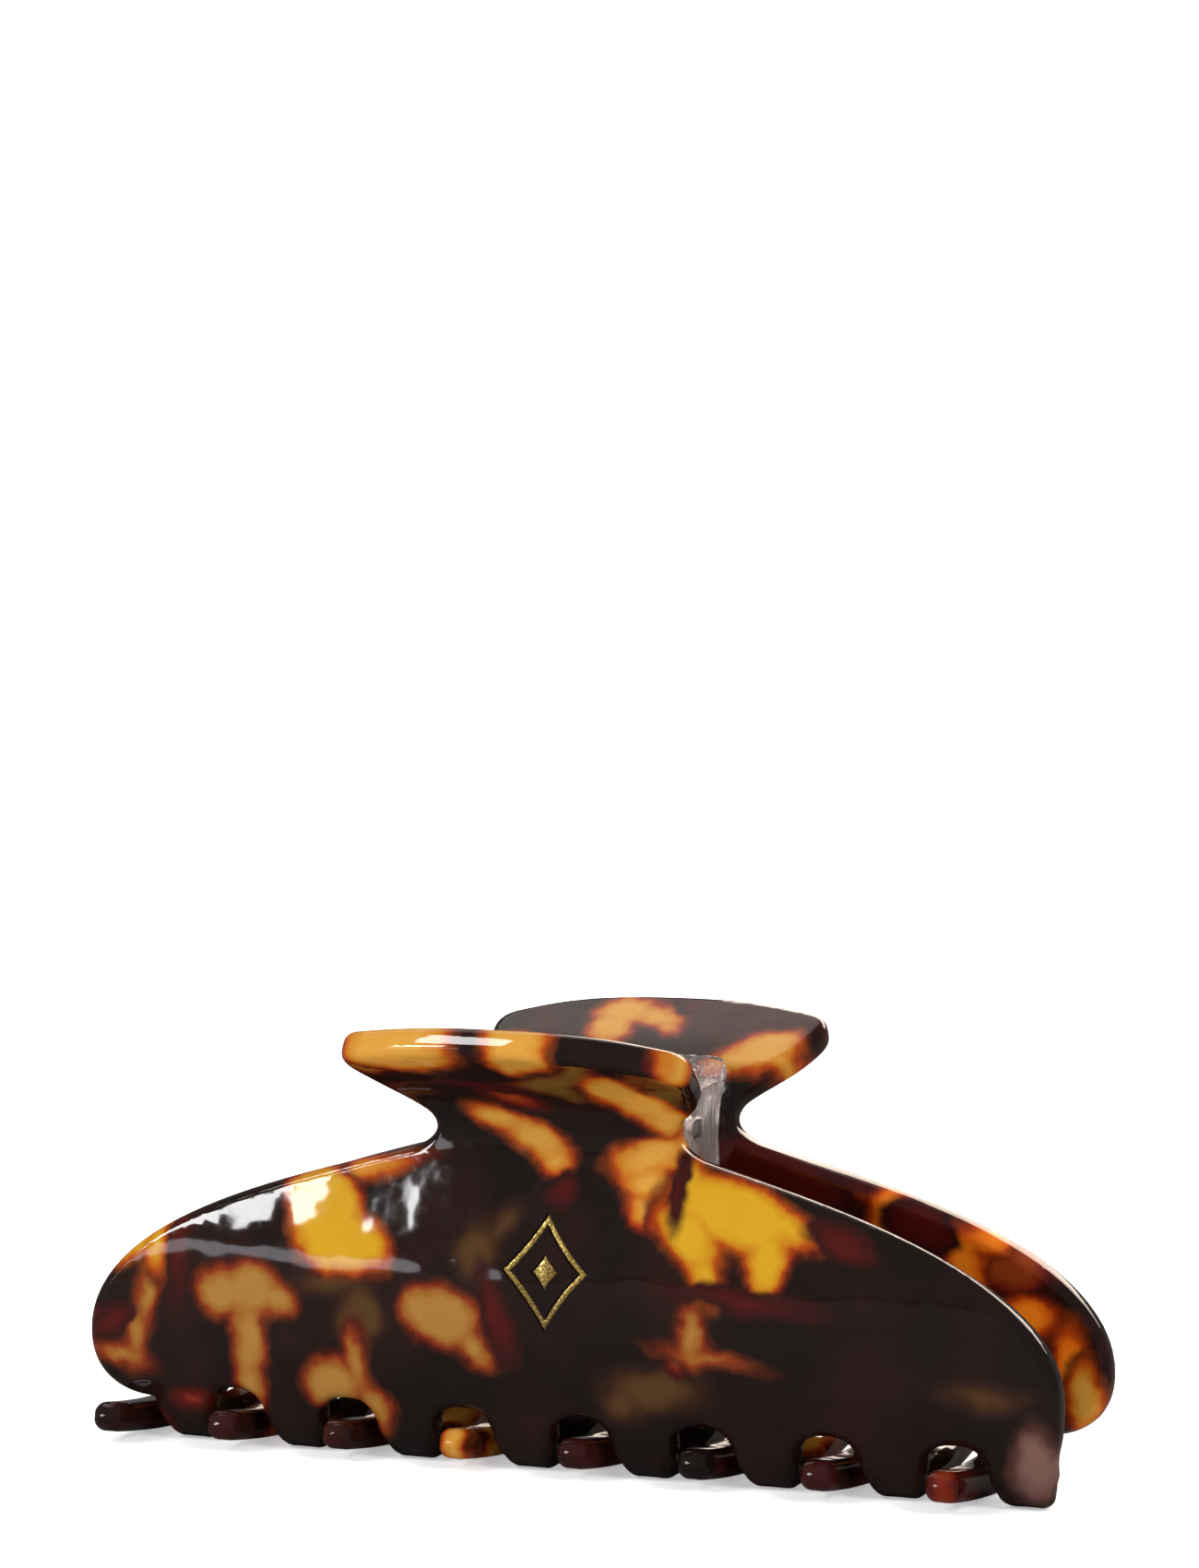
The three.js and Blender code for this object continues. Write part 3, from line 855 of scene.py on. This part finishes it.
@dataclass
class Lozenge:
    """A lozenge with slightly hollow sides, in flat (x, s)."""

    half_width: float
    half_height: float
    centre_s: float
    waist: float = 0.84
    steps: int = 10

    def points(self, offset: float = 0.0) -> list[Point]:
        """Its outline, grown by an offset."""
        w = self.half_width + offset
        h = self.half_height + offset * self.half_height / self.half_width
        corners = [(w, 0.0), (0.0, h), (-w, 0.0), (0.0, -h)]
        outline: list[Point] = []
        for (x0, y0), (x1, y1) in zip(corners, corners[1:] + corners[:1]):
            bow = ((x0 + x1) / 2 * self.waist, (y0 + y1) / 2 * self.waist)
            outline += curve_points([(x0, y0), bow, (x1, y1)], self.steps)[:-1]
        return [(x, self.centre_s + y) for x, y in outline]


COLUMN_STEP = 1.5  # between cuts across the clip, and between cuts down the sheet
ROW_STEP = 0.7


@dataclass
class BentPiece:
    """A piece that is shaped flat, in (x, s, lift), and then bent with the sheet."""

    bend: Bend
    turned: bool
    name: str

    def bend_mesh(self, thing: bpy.types.Object) -> None:
        """Stores each point's flat position, then moves it to its real place, in metres."""
        mesh = thing.data
        flat = np.zeros(len(mesh.vertices) * 3, np.float32)
        mesh.vertices.foreach_get("co", flat)
        stored = mesh.attributes.new(FLAT_ATTRIBUTE, "FLOAT_VECTOR", "POINT")
        stored.data.foreach_set("vector", flat)
        real = self.bend.place(flat.reshape(-1, 3).astype(float)) * MM
        if self.turned:
            real[:, :2] *= -1
        mesh.vertices.foreach_set("co", real.astype(np.float32).ravel())
        mesh.update()
        bm = bmesh.new()
        bm.from_mesh(mesh)
        bmesh.ops.recalc_face_normals(bm, faces=bm.faces[:])
        bm.to_mesh(mesh)
        bm.free()

    def slice_mesh(self, thing: bpy.types.Object) -> None:
        """Cuts a flat mesh into rows and columns fine enough for the bend."""
        bm = bmesh.new()
        bm.from_mesh(thing.data)
        for axis, step in ((0, COLUMN_STEP), (1, ROW_STEP)):
            places = [v.co[axis] for v in bm.verts]
            MeshTools.slice_up(bm, axis, min(places), max(places), step)
        bmesh.ops.dissolve_degenerate(bm, dist=1e-4, edges=bm.edges[:])
        bm.to_mesh(thing.data)
        bm.free()


# ---------------------------------------------------------------- pieces


@dataclass
class Jaw(BentPiece):
    """One jaw: a bent acetate sheet with polished round edges and teeth."""

    body: str
    node: str
    thickness: float = 3.2
    edge_radius: float = 1.15
    edge_segments: int = 6
    recesses: tuple[tuple[Lozenge, float], ...] = ()
    recess_depth: float = 1.1
    tip_round: float = 2.0
    tip_least: float = 0.02

    def build(self, material: bpy.types.Material) -> bpy.types.Object:
        """Builds the jaw.

        Args:
            material: its tortoiseshell.

        Returns:
            The finished piece, riding on its body.
        """
        outline = Outline(self.bend, short_end_tooth=not self.turned).points()
        bm = MeshTools.polygon(outline, -self.thickness / 2)
        MeshTools.raise_up(bm, self.thickness)
        MeshTools.round_edges(bm, MeshTools.rims(bm), self.edge_radius, self.edge_segments)
        jaw = MeshTools.to_object(bm, self.name)
        if self.recesses:
            self._cut_recesses(jaw)
        self.slice_mesh(jaw)
        self._round_tips(jaw)
        self.bend_mesh(jaw)
        MeshTools.dress(jaw, material)
        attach(jaw, self.body)
        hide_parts(self.node)
        return jaw

    def _round_tips(self, jaw: bpy.types.Object) -> None:
        """Thins the fingers towards their very ends, so that they end in a ball."""
        tip = self.bend.marks[-1]
        for vert in jaw.data.vertices:
            share = (vert.co.y - tip + self.tip_round) / self.tip_round
            if share > 0.0:
                vert.co.z *= math.sqrt(max(1.0 - share * share, self.tip_least))

    def _cut_recesses(self, jaw: bpy.types.Object) -> None:
        """Sinks the ornament's recesses into the outer face."""
        floor = self.thickness / 2 - self.recess_depth
        shapes = [InlayShape(shape, band, floor, self.thickness) for shape, band in self.recesses]
        MeshTools.combine(jaw, [shape.build("recess") for shape in shapes], "DIFFERENCE")


@dataclass
class InlayShape:
    """A flat lozenge, or a lozenge frame where it has a band, raised between two lifts."""

    shape: Lozenge
    band: float
    low: float
    high: float

    def build(self, name: str) -> bpy.types.Object:
        """Builds it as a closed flat object."""
        height = self.high - self.low
        if self.band:
            bm = MeshTools.tube((self.shape.points(), self.shape.points(-self.band)), self.low, height)
        else:
            bm = MeshTools.polygon(self.shape.points(), self.low)
            MeshTools.raise_up(bm, height)
        return MeshTools.to_object(bm, name)


@dataclass
class Inlay(BentPiece):
    """A gold filling in one of the front jaw's recesses."""

    node: str
    shape: Lozenge
    band: float = 0.0
    low: float = 0.5
    high: float = 1.42
    edge: float = 0.1

    def build(self, material: bpy.types.Material) -> bpy.types.Object:
        """Builds the filling."""
        piece = InlayShape(self.shape, self.band, self.low, self.high).build(self.name)
        bm = bmesh.new()
        bm.from_mesh(piece.data)
        top = MeshTools.corners(bm, lambda e: all(v.co.z > self.high - 1e-3 for v in e.verts))
        MeshTools.round_edges(bm, top, self.edge, 2)
        bm.to_mesh(piece.data)
        bm.free()
        self.slice_mesh(piece)
        self.bend_mesh(piece)
        MeshTools.dress(piece, material)
        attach(piece, "front_half")
        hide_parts(self.node)
        return piece


@dataclass
class HingeLeaf(BentPiece):
    """A clear hinge leaf: a plate inside a jaw's neck, and two knuckles round the pin."""

    body: str
    node: str
    half: float = 12.4
    plate: float = 1.3
    face_lift: float = -1.9
    up: float = 6.2
    down: float = 5.2
    corner: float = 1.6
    edge: float = 0.28
    axis_height: float = AXIS_HEIGHT
    knuckle_radius: float = 3.9
    knuckle_root: float = 4.7
    root_out: float = 5.15
    bore: float = 1.45
    knuckle_length: float = 4.21
    coil_half: float = 3.54
    sides: int = 40

    def build(self, material: bpy.types.Material) -> bpy.types.Object:
        """Builds the leaf."""
        leaf = self._plate()
        MeshTools.combine(leaf, [self._knuckle(x) for x in (-self.half, self.coil_half)], "UNION")
        MeshTools.dress(leaf, material, 32.0)
        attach(leaf, self.body)
        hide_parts(self.node)
        return leaf

    def _plate(self) -> bpy.types.Object:
        """The plate, a rounded rectangle bent with the sheet."""
        neck = self.bend.marks[1]
        top, low, r = neck - self.up, neck + self.down, self.corner
        corners = [(self.half, top), (self.half, low), (-self.half, low), (-self.half, top)]
        outline: list[Point] = []
        for i, (x, s) in enumerate(corners):
            before, after = corners[i - 1], corners[(i + 1) % 4]
            ends = []
            for other in (before, after):
                away = Vector((other[0] - x, other[1] - s)).normalized() * r
                ends.append((x + away.x, s + away.y))
            outline += curve_points([ends[0], (x, s), ends[1]], 6)
        bm = MeshTools.polygon(outline, self.face_lift - self.plate)
        MeshTools.raise_up(bm, self.plate)
        MeshTools.round_edges(bm, MeshTools.rims(bm), self.edge, 3)
        plate = MeshTools.to_object(bm, self.name)
        self.slice_mesh(plate)
        self.bend_mesh(plate)
        return plate

    def _knuckle(self, start: float) -> bpy.types.Object:
        """One knuckle with its web, closed round its bore, in metres."""
        reach = math.hypot(self.root_out, self.knuckle_root)
        lean = math.atan2(self.knuckle_root, self.root_out) + math.acos(self.knuckle_radius / reach)
        turns = np.linspace(-math.pi + lean, math.pi - lean, self.sides)
        outer = [(self.knuckle_radius * math.cos(a), self.knuckle_radius * math.sin(a)) for a in turns]
        outer += [(-self.root_out, self.knuckle_root), (-self.root_out, -self.knuckle_root)]
        inner = []
        for y, z in outer:
            shrink = self.bore / math.hypot(y, z)
            inner.append((y * shrink, z * shrink))
        bm = MeshTools.tube((outer, inner), 0.0, self.knuckle_length)
        MeshTools.round_edges(bm, MeshTools.rims(bm), self.edge, 2)
        to_place = Matrix(((0, 0, 1, start), (1, 0, 0, 0), (0, 1, 0, self.axis_height), (0, 0, 0, 1)))
        bmesh.ops.transform(bm, matrix=Matrix.Scale(MM, 4) @ to_place, verts=bm.verts[:])
        if self.turned:
            bmesh.ops.rotate(bm, verts=bm.verts[:], matrix=Matrix.Rotation(math.pi, 3, "Z"), cent=(0, 0, 0))
        bmesh.ops.recalc_face_normals(bm, faces=bm.faces[:])
        return MeshTools.to_object(bm, "knuckle")


@dataclass
class Pin:
    """The steel hinge pin, with softly domed ends."""

    radius: float = 1.2
    half: float = 12.1
    dome: float = 0.3
    flat_share: float = 0.6
    axis_height: float = AXIS_HEIGHT
    sides: int = 48

    def build(self, material: bpy.types.Material) -> bpy.types.Object:
        """Spins the pin's profile round its axis."""
        flat, dome = self.radius * self.flat_share, -self.half + self.dome
        round_end = [(-self.half, flat), (-self.half, self.radius), (dome, self.radius)]
        profile = [(-self.half, 0.0), *curve_points(round_end, 5)]
        profile += [(-x, r) for x, r in reversed(profile)]
        bm = bmesh.new()
        verts = [bm.verts.new((x, 0.0, r)) for x, r in profile]
        edges = [bm.edges.new(pair) for pair in zip(verts, verts[1:])]
        bmesh.ops.spin(
            bm,
            geom=verts + edges,
            cent=(0, 0, 0),
            axis=(1, 0, 0),
            angle=2 * math.pi,
            steps=self.sides,
            use_merge=True,
        )
        bmesh.ops.remove_doubles(bm, verts=bm.verts[:], dist=1e-4)
        bmesh.ops.recalc_face_normals(bm, faces=bm.faces[:])
        bmesh.ops.translate(bm, verts=bm.verts[:], vec=(0.0, 0.0, self.axis_height))
        bmesh.ops.scale(bm, verts=bm.verts[:], vec=(MM, MM, MM))
        pin = MeshTools.to_object(bm, "pin")
        MeshTools.dress(pin, material)
        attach(pin, "front_half")
        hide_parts("hinge_pin")
        return pin


@dataclass
class Spring:
    """The torsion spring: a coil round the pin with a leg against each leaf."""

    wire: float = 0.45
    radius: float = 2.05
    turns: float = 4.5
    pitch: float = 1.15
    leg_out: float = 3.8
    leg_heights: Point = (2.6, 4.4)
    axis_height: float = AXIS_HEIGHT
    per_turn: int = 24

    def build(self, material: bpy.types.Material) -> bpy.types.Object:
        """Builds the wire along its path, as a mesh."""
        run = self.turns * self.pitch / 2
        count = round(self.turns * self.per_turn)
        path = [(-run, -self.leg_out, z) for z in reversed(self.leg_heights)]
        for i in range(count + 1):
            share = i / count
            angle = math.pi + 2 * math.pi * self.turns * share
            y, z = self.radius * math.cos(angle), -self.radius * math.sin(angle)
            path.append((run * (2 * share - 1), y, z))
        path += [(run, self.leg_out, z) for z in self.leg_heights]
        curve = bpy.data.curves.new("spring", "CURVE")
        curve.dimensions = "3D"
        curve.bevel_depth = self.wire * MM
        curve.bevel_resolution = 3
        curve.use_fill_caps = True
        spline = curve.splines.new("POLY")
        spline.points.add(len(path) - 1)
        for point, (x, y, z) in zip(spline.points, path):
            point.co = (x * MM, y * MM, (z + self.axis_height) * MM, 1.0)
        source = bpy.data.objects.new("spring_path", curve)
        bpy.context.scene.collection.objects.link(source)
        graph = bpy.context.evaluated_depsgraph_get()
        mesh = bpy.data.meshes.new_from_object(source.evaluated_get(graph))
        bpy.data.objects.remove(source)
        bm = bmesh.new()
        bm.from_mesh(mesh)
        bmesh.ops.remove_doubles(bm, verts=bm.verts[:], dist=1e-6)
        bmesh.ops.recalc_face_normals(bm, faces=bm.faces[:])
        spring = MeshTools.to_object(bm, "spring")
        MeshTools.dress(spring, material, 50.0)
        start, end = (Vector((x * MM, 0.0, self.axis_height * MM)) for x in (-run, run))
        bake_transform(spring)
        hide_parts("torsion_spring")
        return spring


# ---------------------------------------------------------------- patches of the two jaws


def patches(tint: Tint, *rows: tuple[float, ...]) -> tuple[Patch, ...]:
    """The patches of one tint, each from its x, s, half width, half height and, where it has one, turn."""
    return tuple(Patch(*row, tint=tint) for row in rows)


FRONT_PATCHES = (
    *patches(
        Tint.SMOKE,
        (12.0, 43.2, 4.6, 2.0), (8.6, 44.8, 2.0, 1.5), (-7.6, 30.4, 2.2, 2.8, 12),
        (-4.9, 27.2, 0.9, 1.9, 40), (-21.4, 38.0, 2.6, 3.0), (-24.8, 34.4, 3.4, 1.2),
        (47.4, 41.8, 3.0, 0.9),
    ),
    *patches(
        Tint.ROSE,
        (52.4, 48.4, 2.2, 3.6),
    ),
    *patches(
        Tint.EMBER,
        (-3.4, 11.4, 2.4, 1.1, 25), (14.8, 40.2, 0.7, 0.9, 20), (-54.4, 41.8, 1.2, 1.6),
        (-42.6, 48.4, 1.4, 0.7), (-47.0, 52.6, 0.8, 1.4), (37.0, 70.0, 2.0, 3.6), (-43.9, 66.0, 2.0, 4.6),
    ),
    # painted shade: honey patches drawn darker because less light reaches them; all but the one on the pad
    # lie below the belly
    *patches(
        Tint.TOFFEE,
        (-17.2, 4.2, 2.6, 2.2), (16.7, 37.3, 1.1, 2.2, -6), (18.0, 39.5, 2.0, 0.35, 8),
        (-11.6, 37.2, 4.0, 2.8, 6), (-7.9, 40.2, 2.2, 1.3, 32), (-14.4, 36.4, 1.6, 1.6),
        (-38.4, 36.2, 2.6, 2.2, 10), (-34.4, 36.0, 3.8, 2.6, 4), (-30.8, 36.6, 1.8, 1.5, 20),
        (-34.8, 41.6, 1.9, 4.4, -4), (-34.9, 46.0, 1.4, 2.2), (-24.8, 45.0, 3.1, 2.5),
        (-21.7, 42.8, 0.9, 2.7, -8), (-20.0, 47.4, 1.3, 1.9, -35), (-46.9, 36.9, 1.0, 2.6, 8),
        (-48.8, 41.2, 0.9, 2.8, 14), (-51.2, 43.8, 2.4, 0.8, 16),
    ),
    *patches(
        Tint.HONEY,
        (-13.0, 1.9, 6.4, 3.3, -6), (0.8, 1.2, 3.4, 2.8), (-0.6, 3.4, 1.3, 1.7), (16.8, 0.8, 2.6, 3.4),
        (17.3, 4.8, 1.5, 1.2), (8.6, 8.4, 2.9, 3.4), (10.6, 11.4, 3.3, 2.4, 42),
        (13.0, 14.4, 2.1, 2.6, -20), (11.0, 19.6, 4.0, 1.8, -12), (10.8, 22.3, 2.8, 1.5, 10),
        (-5.8, 15.2, 3.2, 1.6, 28), (-1.8, 18.0, 3.4, 1.9, 26), (0.2, 20.2, 1.6, 1.2),
        (11.6, 25.4, 2.4, 1.5, 15), (-20.8, 22.4, 3.8, 0.8, -15), (-16.8, 60.0, 2.2, 4.6),
        (23.6, 61.0, 2.2, 4.6),
    ),
    *patches(
        Tint.AMBER,
        (20.5, 25.0, 7.0, 3.2, 16), (15.6, 23.4, 1.6, 3.4), (26.6, 26.4, 2.6, 1.5, 22),
        (15.6, 27.6, 3.8, 2.2, 34), (17.6, 31.2, 1.2, 2.6, -14), (24.4, 29.6, 2.0, 3.4, 12),
        (-26.2, 26.6, 4.4, 4.0), (-23.6, 30.4, 5.2, 3.0, 12), (-20.4, 30.6, 1.9, 1.9),
        (-49.4, 31.2, 4.6, 1.9, -34), (-45.9, 31.6, 1.1, 2.6),
    ),
    *patches(
        Tint.CHERRY,
        (-6.5, 8.8, 2.4, 0.6, 10), (14.3, 22.9, 0.2, 0.9, 6), (32.0, 27.2, 2.2, 1.0, 24),
        (22.0, 33.6, 3.4, 0.5, 4), (1.6, 23.6, 0.8, 1.1), (-5.4, 36.6, 1.0, 3.2, -16),
        (-42.8, 31.6, 0.6, 3.2, 6), (-52.0, 40.4, 2.0, 0.8, -30),
    ),
)

REAR_PATCHES = (
    *patches(
        Tint.SMOKE,
        (-2.0, 31.0, 2.4, 3.6, 10), (47.6, 49.4, 2.0, 2.0),
    ),
    *patches(
        Tint.EMBER,
        (-27.6, 24.0, 2.6, 0.5, -10), (-46.4, 37.4, 0.9, 1.6), (-44.0, 31.0, 3.8, 2.6),
        (18.0, 35.0, 2.2, 1.2), (23.6, 63.0, 2.0, 3.0), (-43.9, 70.0, 1.2, 3.6), (-30.4, 62.0, 2.2, 3.8),
    ),
    *patches(
        Tint.SIENNA,
        (-31.0, 25.4, 1.6, 2.0, 8), (-30.2, 27.6, 0.9, 1.4), (-39.0, 31.2, 1.7, 3.0, 4),
        (-41.6, 28.4, 2.1, 1.1, -14), (-38.6, 29.0, 1.6, 1.4), (-46.2, 36.2, 2.5, 1.9, -10),
        (-50.9, 41.4, 1.8, 3.8, 4),
    ),
    *patches(
        Tint.HONEY,
        (-15.3, 9.6, 3.9, 2.8, 22), (-12.4, 11.4, 2.8, 1.5, 26), (-18.2, 11.2, 1.8, 0.9, -16),
        (3.4, 0.0, 1.0, 2.4), (2.6, 3.8, 3.2, 2.2), (3.4, 7.0, 2.2, 2.9), (-1.4, 4.6, 2.8, 1.5, -24),
        (-3.3, 6.6, 0.8, 1.3, 30), (12.5, 12.6, 2.2, 3.4, 24), (2.5, 16.4, 4.0, 1.5, -18),
        (-52.4, 44.4, 1.7, 3.4, 6), (-34.0, 42.4, 2.0, 3.4, 12), (-36.6, 40.0, 2.6, 1.3, -10),
        (-11.0, 40.0, 4.4, 2.0, -12), (-7.4, 42.8, 1.5, 2.0, 10), (8.0, 25.0, 5.2, 2.2, 8),
        (13.4, 29.4, 2.0, 2.9, -8), (9.4, 42.6, 1.8, 3.4, 6), (12.6, 40.2, 2.2, 1.0, -20),
        (24.5, 40.6, 4.2, 2.2, -20), (27.6, 44.0, 1.2, 2.4), (38.4, 33.4, 1.7, 3.4, 20),
        (40.6, 43.0, 4.0, 1.4), (50.6, 37.4, 1.7, 4.0, 14), (37.2, 61.0, 2.2, 4.2),
        (10.1, 72.0, 1.2, 3.4), (10.1, 65.0, 2.2, 3.0), (-3.4, 61.0, 2.2, 4.0), (-17.0, 58.0, 2.2, 3.6),
    ),
    *patches(
        Tint.AMBER,
        (-20.0, 31.0, 4.2, 2.8, 14), (-25.5, 36.0, 2.4, 2.4, -10), (24.0, 28.0, 3.0, 2.4, -6),
        (29.6, 30.6, 4.6, 1.9, 16),
    ),
    *patches(
        Tint.CHERRY,
        (-4.2, 2.4, 0.9, 0.6), (-16.6, 22.6, 8.6, 2.8, -12), (-34.6, 27.2, 3.2, 1.8, -20),
    ),
)


# ---------------------------------------------------------------- assemblies


@dataclass
class ClawClip:
    """The whole clip."""

    bend: Bend = field(default_factory=Bend)
    ornament_height: float = 21.5
    frame_half: Point = (4.9, 6.0)
    frame_band: float = 1.1
    centre_half: Point = (1.5, 1.9)
    gap: float = 0.12

    def build(self) -> list[bpy.types.Object]:
        """Builds every piece."""
        front = Tortoiseshell("tortoiseshell front", FRONT_PATCHES).build()
        rear = Tortoiseshell("tortoiseshell rear", REAR_PATCHES, ground_warm=(0.036, 0.0068, 0.0056)).build()
        clear, steel, gold = ClearPlastic().build(), Steel().build(), GoldFlake().build()
        s = self.bend.at_height(self.ornament_height)
        halves = (self.frame_half, self.centre_half)
        frame_hollow, centre_hollow = (Lozenge(w, h, s) for w, h in halves)
        recesses = ((frame_hollow, self.frame_band), (centre_hollow, 0.0))
        frame_fill, centre_fill = (Lozenge(w - self.gap, h - self.gap, s) for w, h in halves)
        band = self.frame_band - 2 * self.gap
        bend = self.bend
        return [
            Jaw(bend, False, "front_jaw_shell", "front_half", "front_jaw", recesses=recesses).build(front),
            Jaw(bend, True, "rear_jaw_shell", "rear_half", "rear_jaw").build(rear),
            Inlay(bend, False, "ornament_frame", "ornament_frame_inlay", frame_fill, band).build(gold),
            Inlay(bend, False, "ornament_centre", "ornament_centre_inlay", centre_fill).build(gold),
            HingeLeaf(bend, False, "front_leaf", "front_half", "front_hinge_leaf").build(clear),
            HingeLeaf(bend, True, "rear_leaf", "rear_half", "rear_hinge_leaf").build(clear),
            Pin().build(steel),
            Spring().build(steel),
        ]


# ---------------------------------------------------------------- studio

WATTS_PER_RADIANCE = 4.0  # and square metre of a light that faces the clip
RAYS = ("Is Camera Ray", "Is Glossy Ray", "Is Transmission Ray")


def direction(azimuth: float, elevation: float) -> Vector:
    """The way from the clip at an azimuth, from straight in front to the right, and an elevation."""
    level = math.cos(elevation)
    return Vector((math.sin(azimuth) * level, -math.cos(azimuth) * level, math.sin(elevation)))


@dataclass(frozen=True)
class SoftBox:
    """A rectangular studio light that faces the clip.

    Azimuth runs from straight in front of the clip towards its right. Both angles are in degrees.
    A box that isn't mirrored lights the clip without showing in its gloss.
    """

    name: str
    azimuth: float
    elevation: float
    distance: float
    size: Point
    radiance: float
    colour: Colour = (1.0, 1.0, 1.0)
    mirrored: bool = True

    def build(self) -> bpy.types.Object:
        """Builds the light."""
        light = bpy.data.lights.new(self.name, "AREA")
        light.shape = "RECTANGLE"
        light.size, light.size_y = self.size
        light.energy = self.radiance * WATTS_PER_RADIANCE * self.size[0] * self.size[1]
        light.color = self.colour
        lamp = bpy.data.objects.new(self.name, light)
        lamp.location = direction(math.radians(self.azimuth), math.radians(self.elevation)) * self.distance
        lamp.rotation_euler = lamp.location.to_track_quat("Z", "Y").to_euler()
        lamp.visible_glossy = self.mirrored
        bpy.context.scene.collection.objects.link(lamp)
        return lamp


@dataclass
class Studio:
    """The floor, the lights and the camera."""

    azimuth: float = math.radians(23.63)
    elevation: float = math.radians(8.67)
    distance: float = 0.47538
    focal: float = 4891.7
    aim_height: float = 0.022
    aim_in_frame: Point = (639.0, 1359.28)
    frame_size: tuple[int, int] = (1300, 1700)
    sensor: float = 36.0
    world_light: float = 0.34
    world_gloss: float = 0.14
    world_through: float = 1.1
    floor_half: float = 6.0
    floor_gloss: float = 0.13
    floor_grain: Point = (0.91, 0.93)
    floor_glow: Point = (0.42, 0.7)
    floor_fade: Point = (0.12, 0.7)
    glow_centre: Point = (-0.68, -0.70)
    glow_fade: Point = (0.36, 0.16)
    glow_gloss: float = 1.7
    boxes: tuple[SoftBox, ...] = (
        SoftBox("key low", -42.0, 16.8, 1.0, (0.33, 0.15), 16.5),
        SoftBox("key high", -38.0, 39.0, 1.0, (0.34, 0.20), 12.0),
        SoftBox("horizon", -38.6, 1.6, 1.1, (0.46, 0.12), 2.6, (0.94, 0.93, 1.0)),
        SoftBox("top", -136.0, 60.0, 0.9, (0.70, 0.50), 0.8, (1.0, 0.88, 0.82)),
        SoftBox("right", 62.0, 34.0, 1.0, (0.34, 0.40), 8.0, mirrored=False),
        SoftBox("back", 172.0, 34.0, 1.1, (1.10, 0.50), 5.0, (1.0, 0.84, 0.70)),
    )

    def build(self) -> None:
        """Builds all of it."""
        self._floor()
        self._world()
        for box in self.boxes:
            box.build()
        self._camera()

    def _floor(self) -> None:
        """A plain pale floor, which brightens away from the clip and looks dimmer in its gloss."""
        bm = bmesh.new()
        bmesh.ops.create_grid(bm, x_segments=8, y_segments=8, size=self.floor_half)
        floor = MeshTools.to_object(bm, "floor")
        graph = Graph.of_material("pale floor")
        place = graph.add("ShaderNodeTexCoord", {}, {}, "Object")
        low, high = ((tone,) * 3 for tone in self.floor_grain)
        pale = graph.mix(graph.noise(place, 30.0, 2.0), low, high)
        away = graph.vector("LENGTH", place, output="Value").between(*self.floor_fade)
        off = graph.vector("SUBTRACT", place, (*self.glow_centre, 0.0))
        lit = self.glow_gloss * graph.vector("LENGTH", off, output="Value").between(*self.glow_fade)
        seen, in_gloss = (graph.add("ShaderNodeLightPath", {}, {}, ray) for ray in RAYS[:2])
        near, far = self.floor_glow
        material = graph.finish(
            Base_Color=graph.mix(in_gloss, pale, (self.floor_gloss,) * 3),
            Roughness=0.8,
            Specular_IOR_Level=0.0,
            Emission_Color=(1.0, 1.0, 1.0),
            Emission_Strength=seen * (near + far * away) + in_gloss * lit,
        )
        MeshTools.dress(floor, material, 60.0)

    def _world(self) -> None:
        """White to look at, and even, softer light on the clip."""
        world = bpy.data.worlds.new("studio")
        graph = Graph(world)
        seen, in_gloss, through = (graph.add("ShaderNodeLightPath", {}, {}, ray) for ray in RAYS)
        less = self.world_light - self.world_gloss
        more = self.world_through
        strength = self.world_light + (1.0 - self.world_light) * seen - less * in_gloss + more * through
        white = {"Color": (1.0, 1.0, 1.0, 1.0), "Strength": strength}
        graph.add("ShaderNodeOutputWorld", {}, {"Surface": graph.add("ShaderNodeBackground", {}, white)})
        bpy.context.scene.world = world

    def _camera(self) -> None:
        """The camera, at the wanted angle, with the clip low in the frame."""
        back = direction(self.azimuth, self.elevation)
        lens = bpy.data.cameras.new("camera")
        lens.sensor_width = self.sensor
        tall = max(self.frame_size)
        lens.lens = self.focal * self.sensor / tall
        lens.shift_x = (self.frame_size[0] / 2 - self.aim_in_frame[0]) / tall
        lens.shift_y = (self.aim_in_frame[1] - self.frame_size[1] / 2) / tall
        lens.clip_start = 0.01
        camera = bpy.data.objects.new("camera", lens)
        camera.location = Vector((0.0, 0.0, self.aim_height)) + back * self.distance
        camera.rotation_euler = back.to_track_quat("Z", "Y").to_euler()
        bpy.context.scene.collection.objects.link(camera)
        bpy.context.scene.camera = camera
        bpy.context.scene.view_settings.view_transform = "Standard"


def main() -> None:
    """Builds the clip and the studio."""
    logging.basicConfig(level=logging.INFO, format="%(name)s: %(message)s")
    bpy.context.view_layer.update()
    Studio().build()
    for piece in ClawClip().build():
        LOG.info("%s: %d faces", piece.name, len(piece.data.polygons))
    bpy.context.view_layer.update()


if __name__ == "__main__":
    main()
